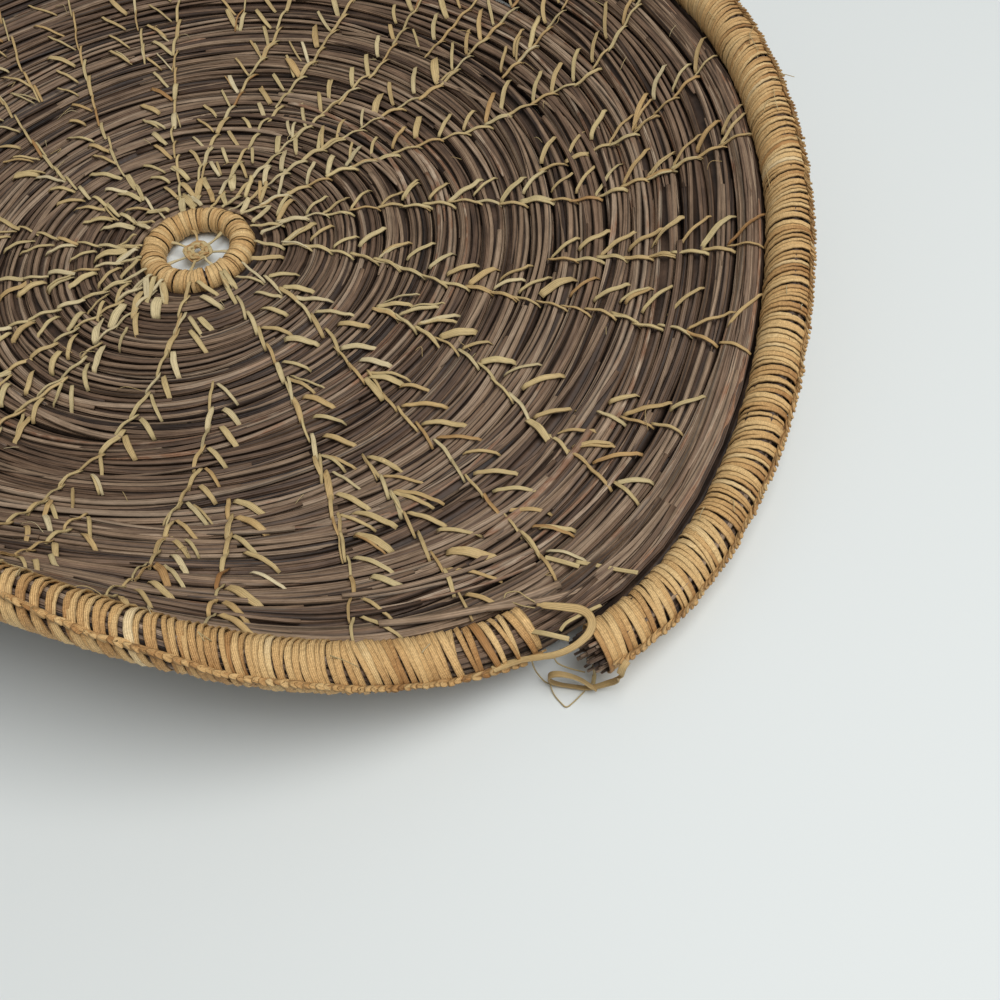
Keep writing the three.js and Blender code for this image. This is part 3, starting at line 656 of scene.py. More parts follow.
# %% Broad flat blades across the turns beside the break
BLADES = [(0.95, (127.2, -70.2), (132.7, -55.7)), (0.8, (129.9, -62.7), (136.4, -54.7)),
          (0.6, (118.0, -72.0), (121.5, -55.0))]
BLADE_RINGS = 14
BLADE_HEIGHT, BLADE_HALF_THICKNESS, BLADE_TONE = 3.0, 0.3, 0.72
blade_share = np.linspace(0, 1, BLADE_RINGS)
blade_parts = []
for half_width, start, end in BLADES:
    arc, degrees = (low + (high - low) * blade_share for low, high in zip(start, end))
    turn = COIL_TURNS - 2 + (START_DEGREES - degrees) / 360
    across = arc - np.interp(turn, TURN_TABLE, ARC_TABLE)
    blade_parts.append(sweep(*laid(turn[None], across[None], BLADE_HEIGHT, rise=1.0), half_width,
                             BLADE_HALF_THICKNESS, BLADE_TONE))
make_piece("stray_needles", [strays, *blade_parts], NEEDLE_FINISH, "needles", "needle_coil")

# %% [markdown]
# ## The rays of stitches
#
# Each turn is sewn to the one before it with a forked stitch: one strand runs on along the ray, out of the
# stitch before it, and a longer one branches off from the same hole, against the winding. The strands are flat
# ribbons of split leaf that hump over the bundles and dive between them, wider by the eye than out at the rim.

# %% One set of strokes
STROKE_RINGS = 10
STROKE_CREST = 2.62
STROKE_WAVE = 0.32
STROKE_REST = 0.22
STROKE_BOW, STROKE_UNEVEN = 0.22, 0.09
STROKE_ROLL, STROKE_TWIST = 0.16, 0.4
STROKE_HALF_THICKNESS = (0.1, 0.05)
DIVE_SHARE = 0.12
ROLL_HEIGHT = 1.2
PITCH = BUNDLE_WIDTH + TURN_GAP


def strokes(turn, across, along, bends, half_width, dives, lift, face, rng, tone):
    """Ribbons laid over the bundle.

    across and along give a stroke's start and end in millimetres from the ray, along the dish and with the
    winding, and bends the powers of the share with which each grows. The height is the crest plus a wave of one
    bundle's width, less a dive at the start and end. face is 1 inside the tray and -1 underneath, where strokes
    that meet the floor lie flat on it.
    """
    count = len(turn)
    share = np.linspace(0, 1, STROKE_RINGS)
    run = across[0][:, None] + (across[1] - across[0])[:, None] * share ** bends[0]
    bow = rng.normal(0, STROKE_BOW, (count, 1)) * np.sin(np.pi * share)
    shift = along[0][:, None] + (along[1] - along[0])[:, None] * share ** bends[1] + bow
    radius = np.linalg.norm(coil_point(turn, 0.0, 0.0)[:, :2], axis=1)[:, None]
    place = np.clip(turn[:, None] + shift / (TAU * radius), 0, RIM_END)
    height = STROKE_CREST + STROKE_WAVE * np.cos(TAU * run / PITCH) + rng.normal(0, STROKE_UNEVEN, (count, 1))
    height = height + lift * (1 - blend(share, 0, 0.5))
    height = height - dives[0] * (1 - blend(share, 0, DIVE_SHARE))
    height = height - dives[1] * blend(share, 1 - DIVE_SHARE, 1)
    centres, outward = laid(place, run, face * height, rise=face)
    centres[..., 2] = np.maximum(centres[..., 2], STROKE_REST)
    half = half_width[:, None] * (0.68 + 0.32 * np.sin(np.pi * (0.08 + 0.84 * share)))
    roll = rng.normal(0, STROKE_ROLL, (count, 1)) + rng.normal(0, STROKE_TWIST, (count, 1)) * (share - 0.5)
    roll = roll * blend(centres[..., 2], STROKE_REST, ROLL_HEIGHT)
    thickness = STROKE_HALF_THICKNESS[0] + STROKE_HALF_THICKNESS[1] * half
    return ribbons(centres, outward, half, thickness, tone, roll=roll)


# %% Courses of the rays, as the maker sewed them: turns, each with the azimuth there in degrees
RAYS = [
    [(0, -60.5), (10, -67), (20, -72.8)], [(0, -93), (10, -107), (20, -108)],
    [(0, -125), (10, -129), (20, -135)], [(0, -138), (10, -142), (20, -148)],
    [(0, -152), (10, -159), (20, -165)], [(0, -172), (10, -180), (20, -187)],
    [(0, -189), (10, -207), (20, -214)], [(0, -215), (10, -228), (20, -233)],
    [(0, -233), (10, -244.5), (20, -252)], [(0, -256), (10, -263), (20, -270)],
    [(0, -267), (10, -283), (20, -289)], [(0, -285), (10, -294), (20, -300)],
    [(0, -298), (10, -308.5), (20, -306)], [(0, -309), (10, -322.5), (20, -323.5)],
    [(0, -323), (10, -338.5), (15, -342.5), (20, -337)], [(0, -346), (10, -361), (13, -365), (20, -364.5)],
    [(0, -368), (7, -381), (10, -383), (20, -388.5)], [(0, -398), (6, -410.5), (20, -415.5)],
    [(12, -61.5), (20, -63.5)], [(6, -83), (12, -88.5), (20, -89.5)], [(12, -81.3), (20, -82.5)],
    [(13, -100), (20, -101)], [(11, -170), (20, -176)], [(12, -194), (20, -200)], [(12, -219), (20, -224)],
    [(11, -235), (20, -241)], [(11, -257), (20, -260)], [(12, -276.5), (20, -279)], [(12, -315.8), (20, -317)],
    [(13, -331.6), (20, -328.5)], [(12, -355.5), (15, -356.5), (20, -352)], [(12, -376), (20, -378)],
    [(6, -393.5), (10, -397.5), (14, -403), (20, -406)], [(16, -398), (20, -397)],
]

# %% Ray pieces
STITCH_HALF_WIDTHS = (0.66, 0.54)
BRANCH_RUNS = (3.2, 5.2)
LONG_BRANCH_SIDE = np.radians(15)
FINE_SIDE = np.radians(100)
DOUBLED_SHARE = 0.22
WIDE_SHARE, WIDE_FACTOR = 0.14, 1.6
APART_SHARE, APART, TOGETHER = 0.5, (1.2, 4.0), (0, 1.0)
FINE_LOSS, LONG_GAIN, COPY_LOSS = 0.35, 0.45, 0.35
EYE_OVERLAP, EYE_LIFT = 1.2, 1.4
HOLE, TIP, BRANCH_TIP = -4.2, 3.3, 3.9
RAY_TONES = (0.62, 0.25, 0.17)


def ray_parts(course, seed):
    """The strokes of one ray, inside the tray and underneath, with some of them doubled.

    The course gives the azimuth at some turns, and the rest is interpolated. The lean is how far the ray shifts
    along the winding for each millimetre across. Each turn gets a stroke from its hole to its tip, and a branch
    that starts a little further on and runs back against the winding.
    """
    rng = np.random.default_rng(seed)
    known, azimuths = np.array(course, float).T
    index = np.arange(int(known[0]), COIL_TURNS)
    turn = index + (START_DEGREES - np.interp(index, known, azimuths)) / 360
    kept = turn < COIL_TURNS - RIM_TAPER / 2
    index, turn = index[kept], turn[kept]
    growth = index / COIL_TURNS
    arc = np.interp(turn, TURN_TABLE, ARC_TABLE)
    drift = np.interp(index + 0.5, known, azimuths) - np.interp(index - 0.5, known, azimuths)
    lean = -np.radians(drift) * arc / PITCH
    half = STITCH_HALF_WIDTHS[0] + (STITCH_HALF_WIDTHS[1] - STITCH_HALF_WIDTHS[0]) * growth
    azimuth = START_AZIMUTH - TAU * turn
    half = half * (1 - FINE_LOSS * growth * side_bump(azimuth, FINE_SIDE))
    branch = BRANCH_RUNS[0] + (BRANCH_RUNS[1] - BRANCH_RUNS[0]) * growth
    branch = branch * (1 + LONG_GAIN * side_bump(azimuth, LONG_BRANCH_SIDE))
    from_eye = np.where(index == 0, EYE_RADIUS + EYE_HALF_WIDTH - EYE_OVERLAP - arc, -np.inf)
    lift = np.where(index == 0, EYE_LIFT, 0.0)[:, None]
    parts = []
    for face in (1, -1):
        for copy in range(2):
            picked = np.ones(len(turn), bool) if copy == 0 else rng.random(len(turn)) < DOUBLED_SHARE
            n = picked.sum()
            if n == 0:
                continue

            def jitter(size):
                return rng.normal(0, size, n)

            def widths():
                wide = np.where(rng.random(n) < WIDE_SHARE, WIDE_FACTOR, 1.0)
                return half[picked] * rng.uniform(0.6, 1.2, n) * wide * (1 - COPY_LOSS * copy)

            def tones():
                middle, loss, spread = RAY_TONES
                return np.clip(middle - loss * growth[picked] + jitter(spread), 0, 1)[:, None]

            hole = np.maximum(HOLE + jitter(0.35), from_eye[picked])
            hole_along = lean[picked] * hole - 0.3 + jitter(0.25 + 0.4 * copy)
            tip = TIP + jitter(0.4)
            tip_along = lean[picked] * tip + 0.45 + jitter(0.3)
            parts.append(strokes(turn[picked], (hole, tip), (hole_along, tip_along), (1.0, 1.15), 0.8 * widths(),
                                 (0.3, 0.8), lift[picked], face, rng, tones()))
            apart = np.where(rng.random(n) < APART_SHARE, rng.uniform(*APART, n), rng.uniform(*TOGETHER, n))
            fork = np.maximum(hole + 0.4 + 0.38 * apart + jitter(0.4), from_eye[picked])
            fork_along = lean[picked] * fork - 0.5 - apart
            reach = branch[picked] * rng.uniform(0.65, 1.4, n)
            parts.append(strokes(turn[picked], (fork, BRANCH_TIP + jitter(0.6)), (fork_along, fork_along - reach),
                                 (1.1, 0.95), 1.05 * widths(), (0.5, 1.0), lift[picked], face, rng, tones()))
    return parts


for number, course in enumerate(RAYS, start=1):
    make_piece(f"ray_{number:02d}", ray_parts(course, 100 + number), STITCH_FINISH, "stitch_raffia",
               f"stitch_ray_{number:02d}", crisp=True)

# %% [markdown]
# ## The lashed rim
#
# The rim is a thicker bundle with raffia wound round it, turn beside turn. Rings side by side would look machine
# made, so this is one strand on a helix. Its spacing is wide at the start of the rim and close at the end, its
# slant changes along the rim, its width changes from wind to wind, and pairs of winds draw together and narrow
# where the edge chain holds them, which leaves dark wedges between the pairs; there the winds are also painted
# darker, as painted shade under the chain. Under the close winds a core painted dark as shade stands for the
# imported needles, so that no light comes through the gaps.

# %% Helix round the rim
LASHING_HALF = (4.72, 4.3)
PITCH_TURNS = (20.0, 20.024, 20.031, 20.06, 20.12, 20.4, 20.7, 20.9, 20.97, 21.0)
WIND_PITCHES = (1.9, 1.8, 1.05, 1.1, 1.3, 1.25, 1.0, 1.0, 1.1, 1.3)
SLANT_TURNS = (20.0, 20.08, 20.3, 20.7, 20.88, 20.96, 21.0)
WIND_SLANTS = (0.1, 0.02, -0.1, -0.24, -0.24, 0.1, 0.25)
WIND_RINGS = 16
WIND_HALF_THICKNESS = 0.15
WIND_WIDTHS = (0.34, 1.35)
OPEN_PITCHES = (1.4, 1.9)
PAIR_DRAW = 0.2
CHAIN_TURNS = (20.0, 20.085, 20.115, 20.4, 21.0)
CHAIN_LIFTS = (-1.0, -1.0, 1.4, 0.9, 0.9)
rim_random = np.random.default_rng(41)

rim_turns = np.linspace(RIM_START_TURN, RIM_STOP_TURN, 4001)
rim_lengths = np.interp(rim_turns, TURN_TABLE, LENGTH_TABLE)
rim_pitch = np.interp(rim_turns, PITCH_TURNS, WIND_PITCHES)
wind_table = np.concatenate([[0], np.cumsum(np.diff(rim_lengths) / rim_pitch[1:])])
wind_count = wind_table[-1]
wind = np.arange(0, wind_count, 1 / WIND_RINGS)
RIM_GIRTH = (rim_lengths[-1] - rim_lengths[0]) / (RIM_STOP_TURN - RIM_START_TURN)


def between_winds(place, size, per_wind):
    """Random values at this many places a wind, joined smoothly."""
    knots = rim_random.normal(0, size, int(wind_count * per_wind) + 3)
    low = (place * per_wind).astype(int)
    return knots[low] + (knots[low + 1] - knots[low]) * blend(place * per_wind - low, 0, 1)


angle = TAU * wind
plain_turn = np.interp(wind, wind_table, rim_turns)
chain_angle = np.arcsin(np.interp(plain_turn, CHAIN_TURNS, CHAIN_LIFTS) / LASHING_HALF[1])
near_chain = ((1 + np.cos(angle - chain_angle)) / 2) ** 3
wind_pitch = np.interp(wind, wind_table, rim_pitch)
open_share = blend(wind_pitch, *OPEN_PITCHES)
swell = between_winds(wind, 0.09, 2) + between_winds(wind, 0.08, 1)
wind_across = (LASHING_HALF[0] + swell) * np.cos(angle)
wind_up = (LASHING_HALF[1] + swell) * np.sin(angle)
slant = np.interp(plain_turn, SLANT_TURNS, WIND_SLANTS) + between_winds(wind, 0.05, 0.5)
slant = slant + 0.13 * between_winds(wind, 1.0, 0.14)
pair = np.where(np.round(wind).astype(int) % 2 == 0, 1.0, -1.0)
slide = (0.14 * between_winds(wind, 1.0, 2) + pair * PAIR_DRAW * near_chain) * wind_pitch + slant * wind_across
wind_turn = np.maximum(plain_turn + slide / RIM_GIRTH, COIL_TURNS)
wind_centres, wind_outward = laid(wind_turn, wind_across, wind_up, (1.2, 1.2))
wind_half = 0.5 * wind_pitch * (1.13 - 0.42 * open_share + (0.15 + 0.1 * open_share) * between_winds(wind, 1.0, 1))
wind_half = np.clip(wind_half, *WIND_WIDTHS) * (1 - (0.16 + 0.2 * open_share) * near_chain)
# The winds are painted 0.3 darker in tone where the chain holds them: painted shade under the chain's loops.
wind_tone = np.clip(0.58 + between_winds(wind, 0.2, 1) - 0.3 * near_chain, 0, 1)
lashing = ribbons(wind_centres[None], wind_outward[None], wind_half[None], WIND_HALF_THICKNESS, wind_tone[None],
                  roll=between_winds(wind, 0.12, 2)[None])
make_piece("rim_winding", [lashing], RIM_FINISH, "rim_raffia", "rim_lashing", crisp=True)
print("winds round the rim:", int(wind_count))

# %% The needles packed under the close winds
CORE_HALF = (4.25, 3.5)
CORE_TURNS, CORE_GROWN, CORE_FIRST = (20.3, RIM_END - 0.004), 20.5, (0.8, 0.2)
# The core's low tone is painted shade: the needles in the gaps between winds are seen in shadow.
CORE_SHADE_TONE = 0.15
core_turn = np.linspace(*CORE_TURNS, 260)[None]
core_scale = CORE_FIRST[0] + CORE_FIRST[1] * blend(core_turn, CORE_TURNS[0], CORE_GROWN)
core = sweep(*laid(core_turn, 0.0, 0.0, rise=1.0), CORE_HALF[0] * core_scale, CORE_HALF[1] * core_scale, CORE_SHADE_TONE)
make_piece("rim_core", [core], NEEDLE_FINISH, "needles", "needle_coil")

# %% [markdown]
# ## The edge chain
#
# Along the outside of the rim the winding is held by a chain of loops, one raffia strand hooked under each pair
# of winds. Two strands swing up and down in opposite phase, one swing for two winds, and lean back and forth
# along the rim as they do, so that they fold into loops. A thin chord runs between them.

# %% Looped edge
CHAIN_RINGS = 7
CHAIN_SWING, CHAIN_SLIDE, CHAIN_LEAD = 0.46, 0.75, 0.9
CHAIN_STAND, CHAIN_BULGE = 0.47, 0.3
CHAIN_HALF, CHAIN_HALF_LIMITS, CHAIN_HALF_THICKNESS = 0.36, (0.22, 0.65), 0.17
CHAIN_TONE, CHAIN_ROLL = 0.34, 0.7
CHORD_STAND, CHORD_HALF, CHORD_TONE = 0.35, (0.4, 0.2), 0.15
chain_wind = np.arange(0.5, wind_count - 0.5, 1 / CHAIN_RINGS)
chain_base = np.interp(chain_wind, wind_table, rim_turns)
chain_pitch = np.interp(chain_wind, wind_table, rim_pitch)
chain_size = (0.55 + 0.45 * blend(chain_pitch, 1.0, 1.9)) * (1 + between_winds(chain_wind, 0.3, 0.5))
chain_lift = np.interp(chain_base, CHAIN_TURNS, CHAIN_LIFTS) + between_winds(chain_wind, 0.28, 0.25)
chain_reach = LASHING_HALF[0] * np.sqrt(1 - (chain_lift / LASHING_HALF[1]) ** 2)
chain_parts = []
for phase_start in (0, np.pi):
    phase = np.pi * chain_wind + phase_start + between_winds(chain_wind, 0.35, 0.6)
    chain_turn = chain_base + CHAIN_SLIDE * chain_pitch * np.sin(phase + CHAIN_LEAD) / RIM_GIRTH
    chain_up = chain_lift + CHAIN_SWING * chain_size * np.cos(phase)
    chain_across = chain_reach + CHAIN_STAND + CHAIN_BULGE * np.sin(phase) + between_winds(chain_wind, 0.1, 1)
    chain_centres = bundle_point(chain_turn, chain_across, chain_up)
    chain_outward = bundle_point(chain_turn, chain_across + 1, chain_up + 0.35) - chain_centres
    chain_half = np.clip(CHAIN_HALF + between_winds(chain_wind, 0.1, 0.7), *CHAIN_HALF_LIMITS)
    chain_tone = np.clip(CHAIN_TONE + between_winds(chain_wind, 0.2, 0.6), 0, 1)
    chain_roll = CHAIN_ROLL * np.sin(phase) + between_winds(chain_wind, 0.3, 0.8)
    chain_parts.append(ribbons(chain_centres[None], chain_outward[None], chain_half[None], CHAIN_HALF_THICKNESS,
                               chain_tone[None], roll=chain_roll[None]))
chord_up = chain_lift + between_winds(chain_wind, 0.2, 0.5)
chord_centres = bundle_point(chain_base, chain_reach + CHORD_STAND, chord_up)
chord_outward = bundle_point(chain_base, chain_reach + CHORD_STAND + 1, chord_up + 0.3) - chord_centres
chain_parts.append(ribbons(chord_centres[None], chord_outward[None], *CHORD_HALF, CHORD_TONE))
make_piece("rim_chain", chain_parts, RIM_FINISH, "rim_raffia", "rim_braid", crisp=True)

# %% [markdown]
# ## The eye
#
# The basket starts from a small ring of needles wrapped close with raffia, with a rosette woven across it on
# thin spokes. The wrap is a helix on a circle, narrower on the inside where the turns crowd. The rosette is a
# spiral that goes over one spoke and under the next, drawn in to a diamond.

# %% Wrapped ring
EYE_WINDS = 86
EYE_WIND_RINGS = 14
EYE_SLIDE = 0.6
EYE_INSET, EYE_SWELL = 0.2, (0.1, 0.3)
EYE_HALF, EYE_HALF_SPREAD, EYE_HALF_THICKNESS = 0.5, 0.3, 0.15
EYE_TONES, EYE_ROLL = (0.5, 0.35), 0.3
eye_random = np.random.default_rng(57)


def ring_point(azimuth, across, up):
    """A place beside the eye ring's middle circle."""
    radius, azimuth, height = np.broadcast_arrays(EYE_RADIUS + across, azimuth, EYE_MIDDLE + up)
    return np.stack([radius * np.cos(azimuth), radius * np.sin(azimuth), height], axis=-1)


eye_wind = np.arange(0, EYE_WINDS, 1 / EYE_WIND_RINGS)[None]
eye_angle = TAU * eye_wind
eye_slide = EYE_SLIDE * wander(eye_wind, (1.1, 2.3, 5.1), eye_random)
eye_azimuth = START_AZIMUTH + TAU * (eye_wind + eye_slide) / EYE_WINDS
eye_swell = EYE_SWELL[0] + EYE_SWELL[1] * wander(eye_wind, (1.3, 2.9, 7.3), eye_random)
eye_across = (EYE_HALF_WIDTH - EYE_INSET + eye_swell) * np.cos(eye_angle)
eye_up = (EYE_HALF_HEIGHT - EYE_INSET + eye_swell) * np.sin(eye_angle)
eye_centres = ring_point(eye_azimuth, eye_across, eye_up)
eye_outward = ring_point(eye_azimuth, eye_across * 1.2, eye_up * 1.2) - eye_centres
eye_half = (EYE_HALF * (EYE_RADIUS + eye_across) / EYE_RADIUS
            * (1 + EYE_HALF_SPREAD * wander(eye_wind, (1.7, 4.3), eye_random)))
eye_tone = np.clip(EYE_TONES[0] + EYE_TONES[1] * wander(eye_wind, (1.3, 3.1, 7.7), eye_random), 0, 1)
eye_roll = EYE_ROLL * wander(eye_wind, (0.8, 2.1), eye_random)
eye_wrap = ribbons(eye_centres, eye_outward, eye_half, EYE_HALF_THICKNESS, eye_tone, roll=eye_roll)
make_piece("eye_winding", [eye_wrap], RIM_FINISH, "rim_raffia", "eye_wrap", crisp=True)

# %% Needle ring inside the wrap
EYE_NEEDLES = 6
EYE_NEEDLE_REACH, EYE_NEEDLE_HALF = (1.45, 1.4), (0.85, 0.7)
# The ring's needles take the gap shade tone: painted shade for the inside of the wrap, seen only through its gaps.
ring_needles = []
for slot in range(EYE_NEEDLES):
    turn_angle = TAU * slot / EYE_NEEDLES + 0.5 * ring_places
    centres = ring_point(ring_places, EYE_NEEDLE_REACH[0] * np.cos(turn_angle),
                         EYE_NEEDLE_REACH[1] * np.sin(turn_angle))
    outward = ring_point(ring_places, 2 * np.cos(turn_angle), 2 * np.sin(turn_angle)) - centres
    ring_needles.append(sweep(centres, outward, *EYE_NEEDLE_HALF, GAP_SHADE_TONE + 0.03 * slot))
make_piece("eye_needles", ring_needles, NEEDLE_FINISH, "needles", "eye_bundle")

# %% Woven rosette
WEB_SPOKES = 7
WEB_ROUNDS = 5
WEB_HALF = (4.6, 3.5)
WEB_TURN = np.radians(-20)
SPOKE_REACH = EYE_RADIUS - EYE_HALF_WIDTH + 0.5
SPOKE_INNER, SPOKE_RINGS, SPOKE_BEND, SPOKE_UNEVEN = 0.9, 14, 0.12, 0.09
WEB_HALF_THICKNESS, WEAVE_HALF = 0.14, 0.46
spoke_azimuth = (START_AZIMUTH + TAU * np.arange(WEB_SPOKES) / WEB_SPOKES
                 + eye_random.normal(0, SPOKE_UNEVEN, WEB_SPOKES))[:, None]
spoke_run = np.linspace(SPOKE_REACH, SPOKE_INNER, SPOKE_RINGS)
spoke_bend = SPOKE_BEND * np.sin(np.pi * np.linspace(0, 1, SPOKE_RINGS)) * eye_random.normal(0, 1, (WEB_SPOKES, 1))
spoke_centres = ring_point(spoke_azimuth + spoke_bend, spoke_run - EYE_RADIUS, 0.15 * np.cos(spoke_run))
spoke_outward = np.broadcast_to([0.0, 0, 1], spoke_centres.shape)
spokes = ribbons(spoke_centres, spoke_outward, 0.4 + 0.12 * np.sin(spoke_run), WEB_HALF_THICKNESS,
                 eye_random.uniform(0.3, 0.8, (WEB_SPOKES, 1)))
weave_share = np.linspace(0, 1, 40 * WEB_ROUNDS)[None]
weave_azimuth = START_AZIMUTH + TAU * WEB_ROUNDS * weave_share
weave_edge = 1 / (np.abs(np.cos(weave_azimuth - WEB_TURN)) / WEB_HALF[0]
                  + np.abs(np.sin(weave_azimuth - WEB_TURN)) / WEB_HALF[1])
weave_radius = (0.34 + 0.66 * weave_share) * (0.6 * weave_edge + 0.4 * WEB_HALF[1])
weave_up = 0.3 * np.cos(WEB_SPOKES / 2 * weave_azimuth) + 0.25 * (1 - weave_share)
weave_centres = ring_point(weave_azimuth, weave_radius - EYE_RADIUS, weave_up)
weave_outward = np.broadcast_to([0.0, 0, 1], weave_centres.shape)
weave_tone = 0.35 + 0.3 * np.sin(2.3 * weave_azimuth)
weave = ribbons(weave_centres, weave_outward, WEAVE_HALF, WEB_HALF_THICKNESS, weave_tone)
make_piece("eye_rosette", [spokes, weave], STITCH_FINISH, "stitch_raffia", "eye_web", crisp=True)

# %% [markdown]
# ## Loose ends at the break
#
# Where the rim ends, its needles are cut across and raffia ends lie free. The longest are the tail of the edge
# chain, which comes down to the table and folds back, and a loop that leaves the chain at the first winds, crosses
# the break and turns back over the bundle.
# They are flat limp strands, so they are ribbons along a smooth curve through listed points. Shorter
# strands and single fibres lie round them.

# %% Loose raffia
TAIL_POINTS = [
    (83.84, -126.41, 10.51), (82.9, -127.25, 10.0), (82.4, -127.7, 8.3), (82.3, -127.5, 6.3), (81.7, -127.0, 4.3),
    (80.5, -126.5, 2.6), (78.6, -126.3, 1.4), (76.6, -126.1, 0.85), (74.4, -125.5, 0.8), (72.2, -124.8, 0.8),
    (70.7, -124.4, 1.45), (70.1, -124.2, 3.0), (70.7, -124.4, 4.55), (72.2, -124.8, 5.2), (74.0, -125.3, 4.9),
    (75.7, -125.9, 4.1), (77.1, -126.6, 3.0), (78.3, -127.3, 1.9)]
LOOP_POINTS = [
    (60.6, -126.0, 13.0), (62.3, -125.2, 12.3), (64.0, -124.5, 11.6), (65.8, -124.0, 11.2), (67.6, -123.9, 11.1),
    (69.4, -124.0, 11.4), (71.1, -124.3, 12.1), (72.9, -124.3, 12.8), (74.7, -123.9, 13.4), (76.3, -123.2, 13.9),
    (77.8, -122.0, 14.2), (78.6, -120.3, 14.3), (78.2, -118.4, 14.2), (76.8, -117.1, 14.0), (75.0, -116.4, 13.8),
    (73.2, -115.8, 13.6), (71.4, -115.2, 13.3), (69.6, -114.6, 13.0)]
TAIL_HALF, LOOP_HALF = 0.62, 0.72
LOOSE_HALF_THICKNESS, LOOSE_TONE = 0.14, 0.3


def smooth_path(points, steps):
    """A Catmull-Rom curve: between two points it is the cubic whose ends follow their neighbours."""
    points = np.array(points, float)
    padded = np.concatenate([[2 * points[0] - points[1]], points, [2 * points[-1] - points[-2]]])
    share = np.linspace(0, len(points) - 1, steps)
    low = np.minimum(share.astype(int), len(points) - 2)
    t = (share - low)[:, None]
    before, here, after, beyond = (padded[low + offset] for offset in range(4))
    return (here + 0.5 * t * (after - before + t * (2 * before - 5 * here + 4 * after - beyond
                                                  + t * (3 * (here - after) + beyond - before))))


def loose_end(name, points, half_width, node):
    """A flat limp strand along its route."""
    path = smooth_path(points, 6 * len(points))
    upward = np.broadcast_to([0.0, 0.0, 1.0], path.shape)
    share = np.linspace(0, 1, len(path))
    half = half_width * np.clip((1 - share) / 0.04, 0.5, 1) * (1 + 0.15 * np.sin(11 * share))
    ribbon = ribbons(path[None], upward[None], half[None], LOOSE_HALF_THICKNESS, LOOSE_TONE,
                     roll=0.5 * np.sin(9 * share)[None])
    made = make_piece(name, [ribbon], STITCH_FINISH, "stitch_raffia", node, crisp=True)
    route = path * MM + EYE_CENTRE


loose_end("loose_tail", TAIL_POINTS, TAIL_HALF, "raffia_tail")
loose_end("loose_loop", LOOP_POINTS, LOOP_HALF, "raffia_loop")

# %% Shorter strands at the break
SHORT_STRANDS = [
    (0.5, [(68.0, -119.5, 12.6), (70.0, -120.8, 13.9), (72.1, -121.6, 13.8), (74.3, -122.2, 13.2)]),
    (0.32, [(80.8, -116.1, 12.6), (78.7, -117.2, 13.3), (76.2, -118.4, 13.7), (74.2, -119.4, 13.8),
            (73.0, -120.4, 13.2)]),
    (0.5, [(72.5, -102.1, 8.0), (75.1, -103.6, 8.5), (78.5, -105.2, 8.3)]),
    (0.45, [(78.1, -103.9, 8.0), (82.3, -105.9, 8.7), (85.7, -107.6, 9.3), (88.7, -109.1, 10.1)]),
    (0.4, [(78.1, -124.7, 6.5), (78.3, -124.7, 2.5), (78.0, -125.3, 0.6)]),
]
FIBRES = [
    [(70.2, -123.9, 0.9), (70.7, -126.2, 0.3), (71.9, -128.3, 0.3), (72.7, -129.0, 0.3), (74.1, -128.2, 0.3),
     (76.3, -126.5, 0.5)],
    [(67.4, -123.0, 9.0), (67.9, -123.3, 5.0), (69.3, -123.8, 1.0), (70.6, -124.3, 0.4)],
    [(71.4, -122.9, 8.5), (72.0, -123.5, 7.0), (73.9, -124.0, 5.5), (76.6, -124.7, 4.5)],
    [(69.4, -113.2, 11.4), (67.9, -112.2, 12.0), (66.6, -110.9, 11.9), (64.6, -110.6, 11.4), (64.0, -111.4, 11.1)],
    [(69.3, -114.6, 11.8), (67.2, -114.2, 12.4), (65.2, -112.6, 11.5)],
]
FIBRE_HALF, SHORT_HALF_THICKNESS, SHORT_TONE, SHORT_RINGS = 0.11, 0.13, 0.55, 24
short_parts = []
for half_width, points in SHORT_STRANDS + [(FIBRE_HALF, points) for points in FIBRES]:
    path = smooth_path(points, SHORT_RINGS)[None]
    upward = np.broadcast_to([0.0, 0.0, 1.0], path.shape)
    short_parts.append(ribbons(path, upward, half_width, min(SHORT_HALF_THICKNESS, half_width), SHORT_TONE))
make_piece("break_raffia", short_parts, STITCH_FINISH, "stitch_raffia", "rim_lashing", crisp=True)

# %% Hairs split from the raffia
HAIR_COUNT = 150
HAIR_RINGS = 10
HAIR_HALF = 0.07
RIM_HAIR_SHARE, RIM_HAIR_TURNS, LAST_HAIR_TURN = 0.45, (20.02, 20.98), 19.5
HAIR_RUN, HAIR_WAVE, HAIR_SIDE = 3.5, 0.9, 2.2
HAIR_LEAST_RADIUS = 17
RIM_HAIR_ACROSS, HAIR_ACROSS = (-3, 5.3), (-3, 3)
RIM_HAIR_HALF, HAIR_HEIGHT, HAIR_RISE = (5.4, 4.3), 2.4, (0.2, 1.3)
HAIR_TONES = (0.3, 0.9)
hair_random = np.random.default_rng(73)
hair_share = np.linspace(0, 1, HAIR_RINGS)
each_hair = (HAIR_COUNT, 1)
on_rim = hair_random.random(each_hair) < RIM_HAIR_SHARE
hair_turn = np.where(on_rim, hair_random.uniform(*RIM_HAIR_TURNS, each_hair),
                     LAST_HAIR_TURN * hair_random.random(each_hair) ** 0.5)
hair_run = (hair_random.normal(0, HAIR_RUN, each_hair) * hair_share
            + hair_random.normal(0, HAIR_WAVE, each_hair) * np.sin(4 * hair_share))
hair_radius = np.maximum(HAIR_LEAST_RADIUS, np.linalg.norm(coil_point(hair_turn, 0.0, 0.0)[..., :2], axis=-1))
hair_turn = np.clip(hair_turn + hair_run / (TAU * hair_radius), 0, RIM_END)
hair_across = np.where(on_rim, hair_random.uniform(*RIM_HAIR_ACROSS, each_hair),
                       hair_random.uniform(*HAIR_ACROSS, each_hair))
rim_height = RIM_HAIR_HALF[1] * np.sqrt(np.maximum(0, 1 - (hair_across / RIM_HAIR_HALF[0]) ** 2))
hair_up = np.where(on_rim, rim_height, HAIR_HEIGHT)
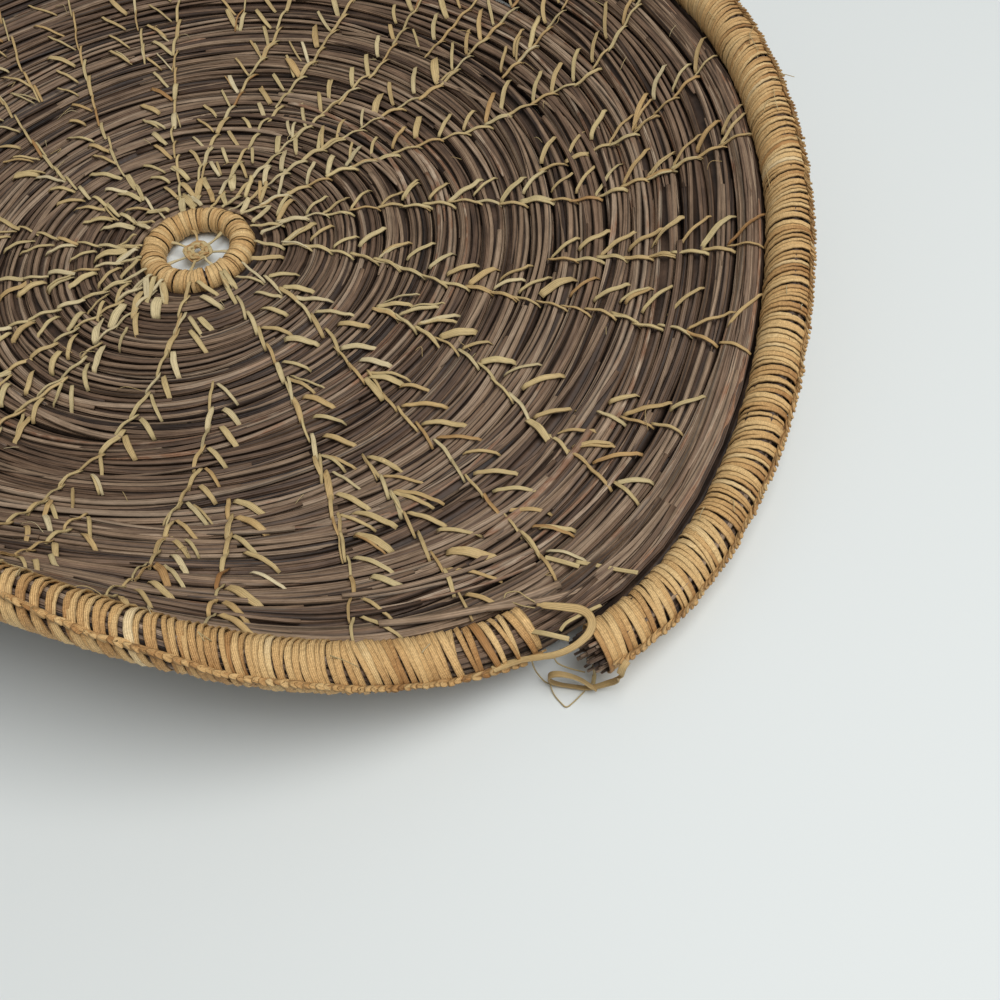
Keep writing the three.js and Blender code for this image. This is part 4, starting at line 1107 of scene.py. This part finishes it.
hair_across = hair_across + hair_random.normal(0, HAIR_SIDE, each_hair) * hair_share ** 1.3
hair_up = hair_up + hair_random.uniform(*HAIR_RISE, each_hair) * np.sin(np.pi * hair_share)
hairs = sweep(*laid(hair_turn, hair_across, hair_up, rise=1.0), HAIR_HALF, HAIR_HALF,
              hair_random.uniform(*HAIR_TONES, each_hair))
make_piece("raffia_hairs", [hairs], STITCH_FINISH, "stitch_raffia", "rim_lashing")

# %% [markdown]
# ## Floor and light
#
# The tray stands on a plain pale table in soft daylight from above, a little to the right and to the viewer's
# side. A sun lamp would draw hard edges, so one wide lamp gives the soft shadow under the rim, and the world fills
# the rest at a plain level.

# %% Stage
FLOOR_HALF = 2.5
FLOOR_COLOUR = (0.73, 0.765, 0.755, 1)
FLOOR_ROUGHNESS = 0.6
SKY_COLOUR, SKY_STRENGTH = (0.98, 0.99, 1.0, 1), 0.34
floor_mesh = bpy.data.meshes.new("floor")
floor_mesh.from_pydata([(-FLOOR_HALF, -FLOOR_HALF, 0), (FLOOR_HALF, -FLOOR_HALF, 0), (FLOOR_HALF, FLOOR_HALF, 0),
                        (-FLOOR_HALF, FLOOR_HALF, 0)], [], [(0, 1, 2, 3)])
floor = bpy.data.objects.new("floor", floor_mesh)
bpy.context.scene.collection.objects.link(floor)
floor_finish = bpy.data.materials.new("pale table")
floor_finish.use_nodes = True
floor_shader = floor_finish.node_tree.nodes["Principled BSDF"]
floor_shader.inputs["Base Color"].default_value = FLOOR_COLOUR
floor_shader.inputs["Roughness"].default_value = FLOOR_ROUGHNESS
floor_mesh.materials.append(floor_finish)

world = bpy.data.worlds.new("soft daylight")
world.use_nodes = True
sky = world.node_tree.nodes["Background"]
sky.inputs["Color"].default_value = SKY_COLOUR
sky.inputs["Strength"].default_value = SKY_STRENGTH
bpy.context.scene.world = world

LAMP_PLACE = np.array([345.0, -220.0, 900.0])
LAMP_SIZE = 0.7
LAMP_POWER = 7.6
lamp_data = bpy.data.lights.new("window", "AREA")
lamp_data.size = LAMP_SIZE
lamp_data.energy = LAMP_POWER
lamp = bpy.data.objects.new("window", lamp_data)
lamp_axis = unit(LAMP_PLACE)
lamp_side = unit(np.cross([0, 0, 1.0], lamp_axis))
lamp.matrix_world = Matrix.Translation(LAMP_PLACE * MM) @ Matrix(
    np.column_stack([lamp_side, np.cross(lamp_axis, lamp_side), lamp_axis]).tolist()).to_4x4()
bpy.context.scene.collection.objects.link(lamp)
bpy.context.scene.view_settings.view_transform = "Standard"
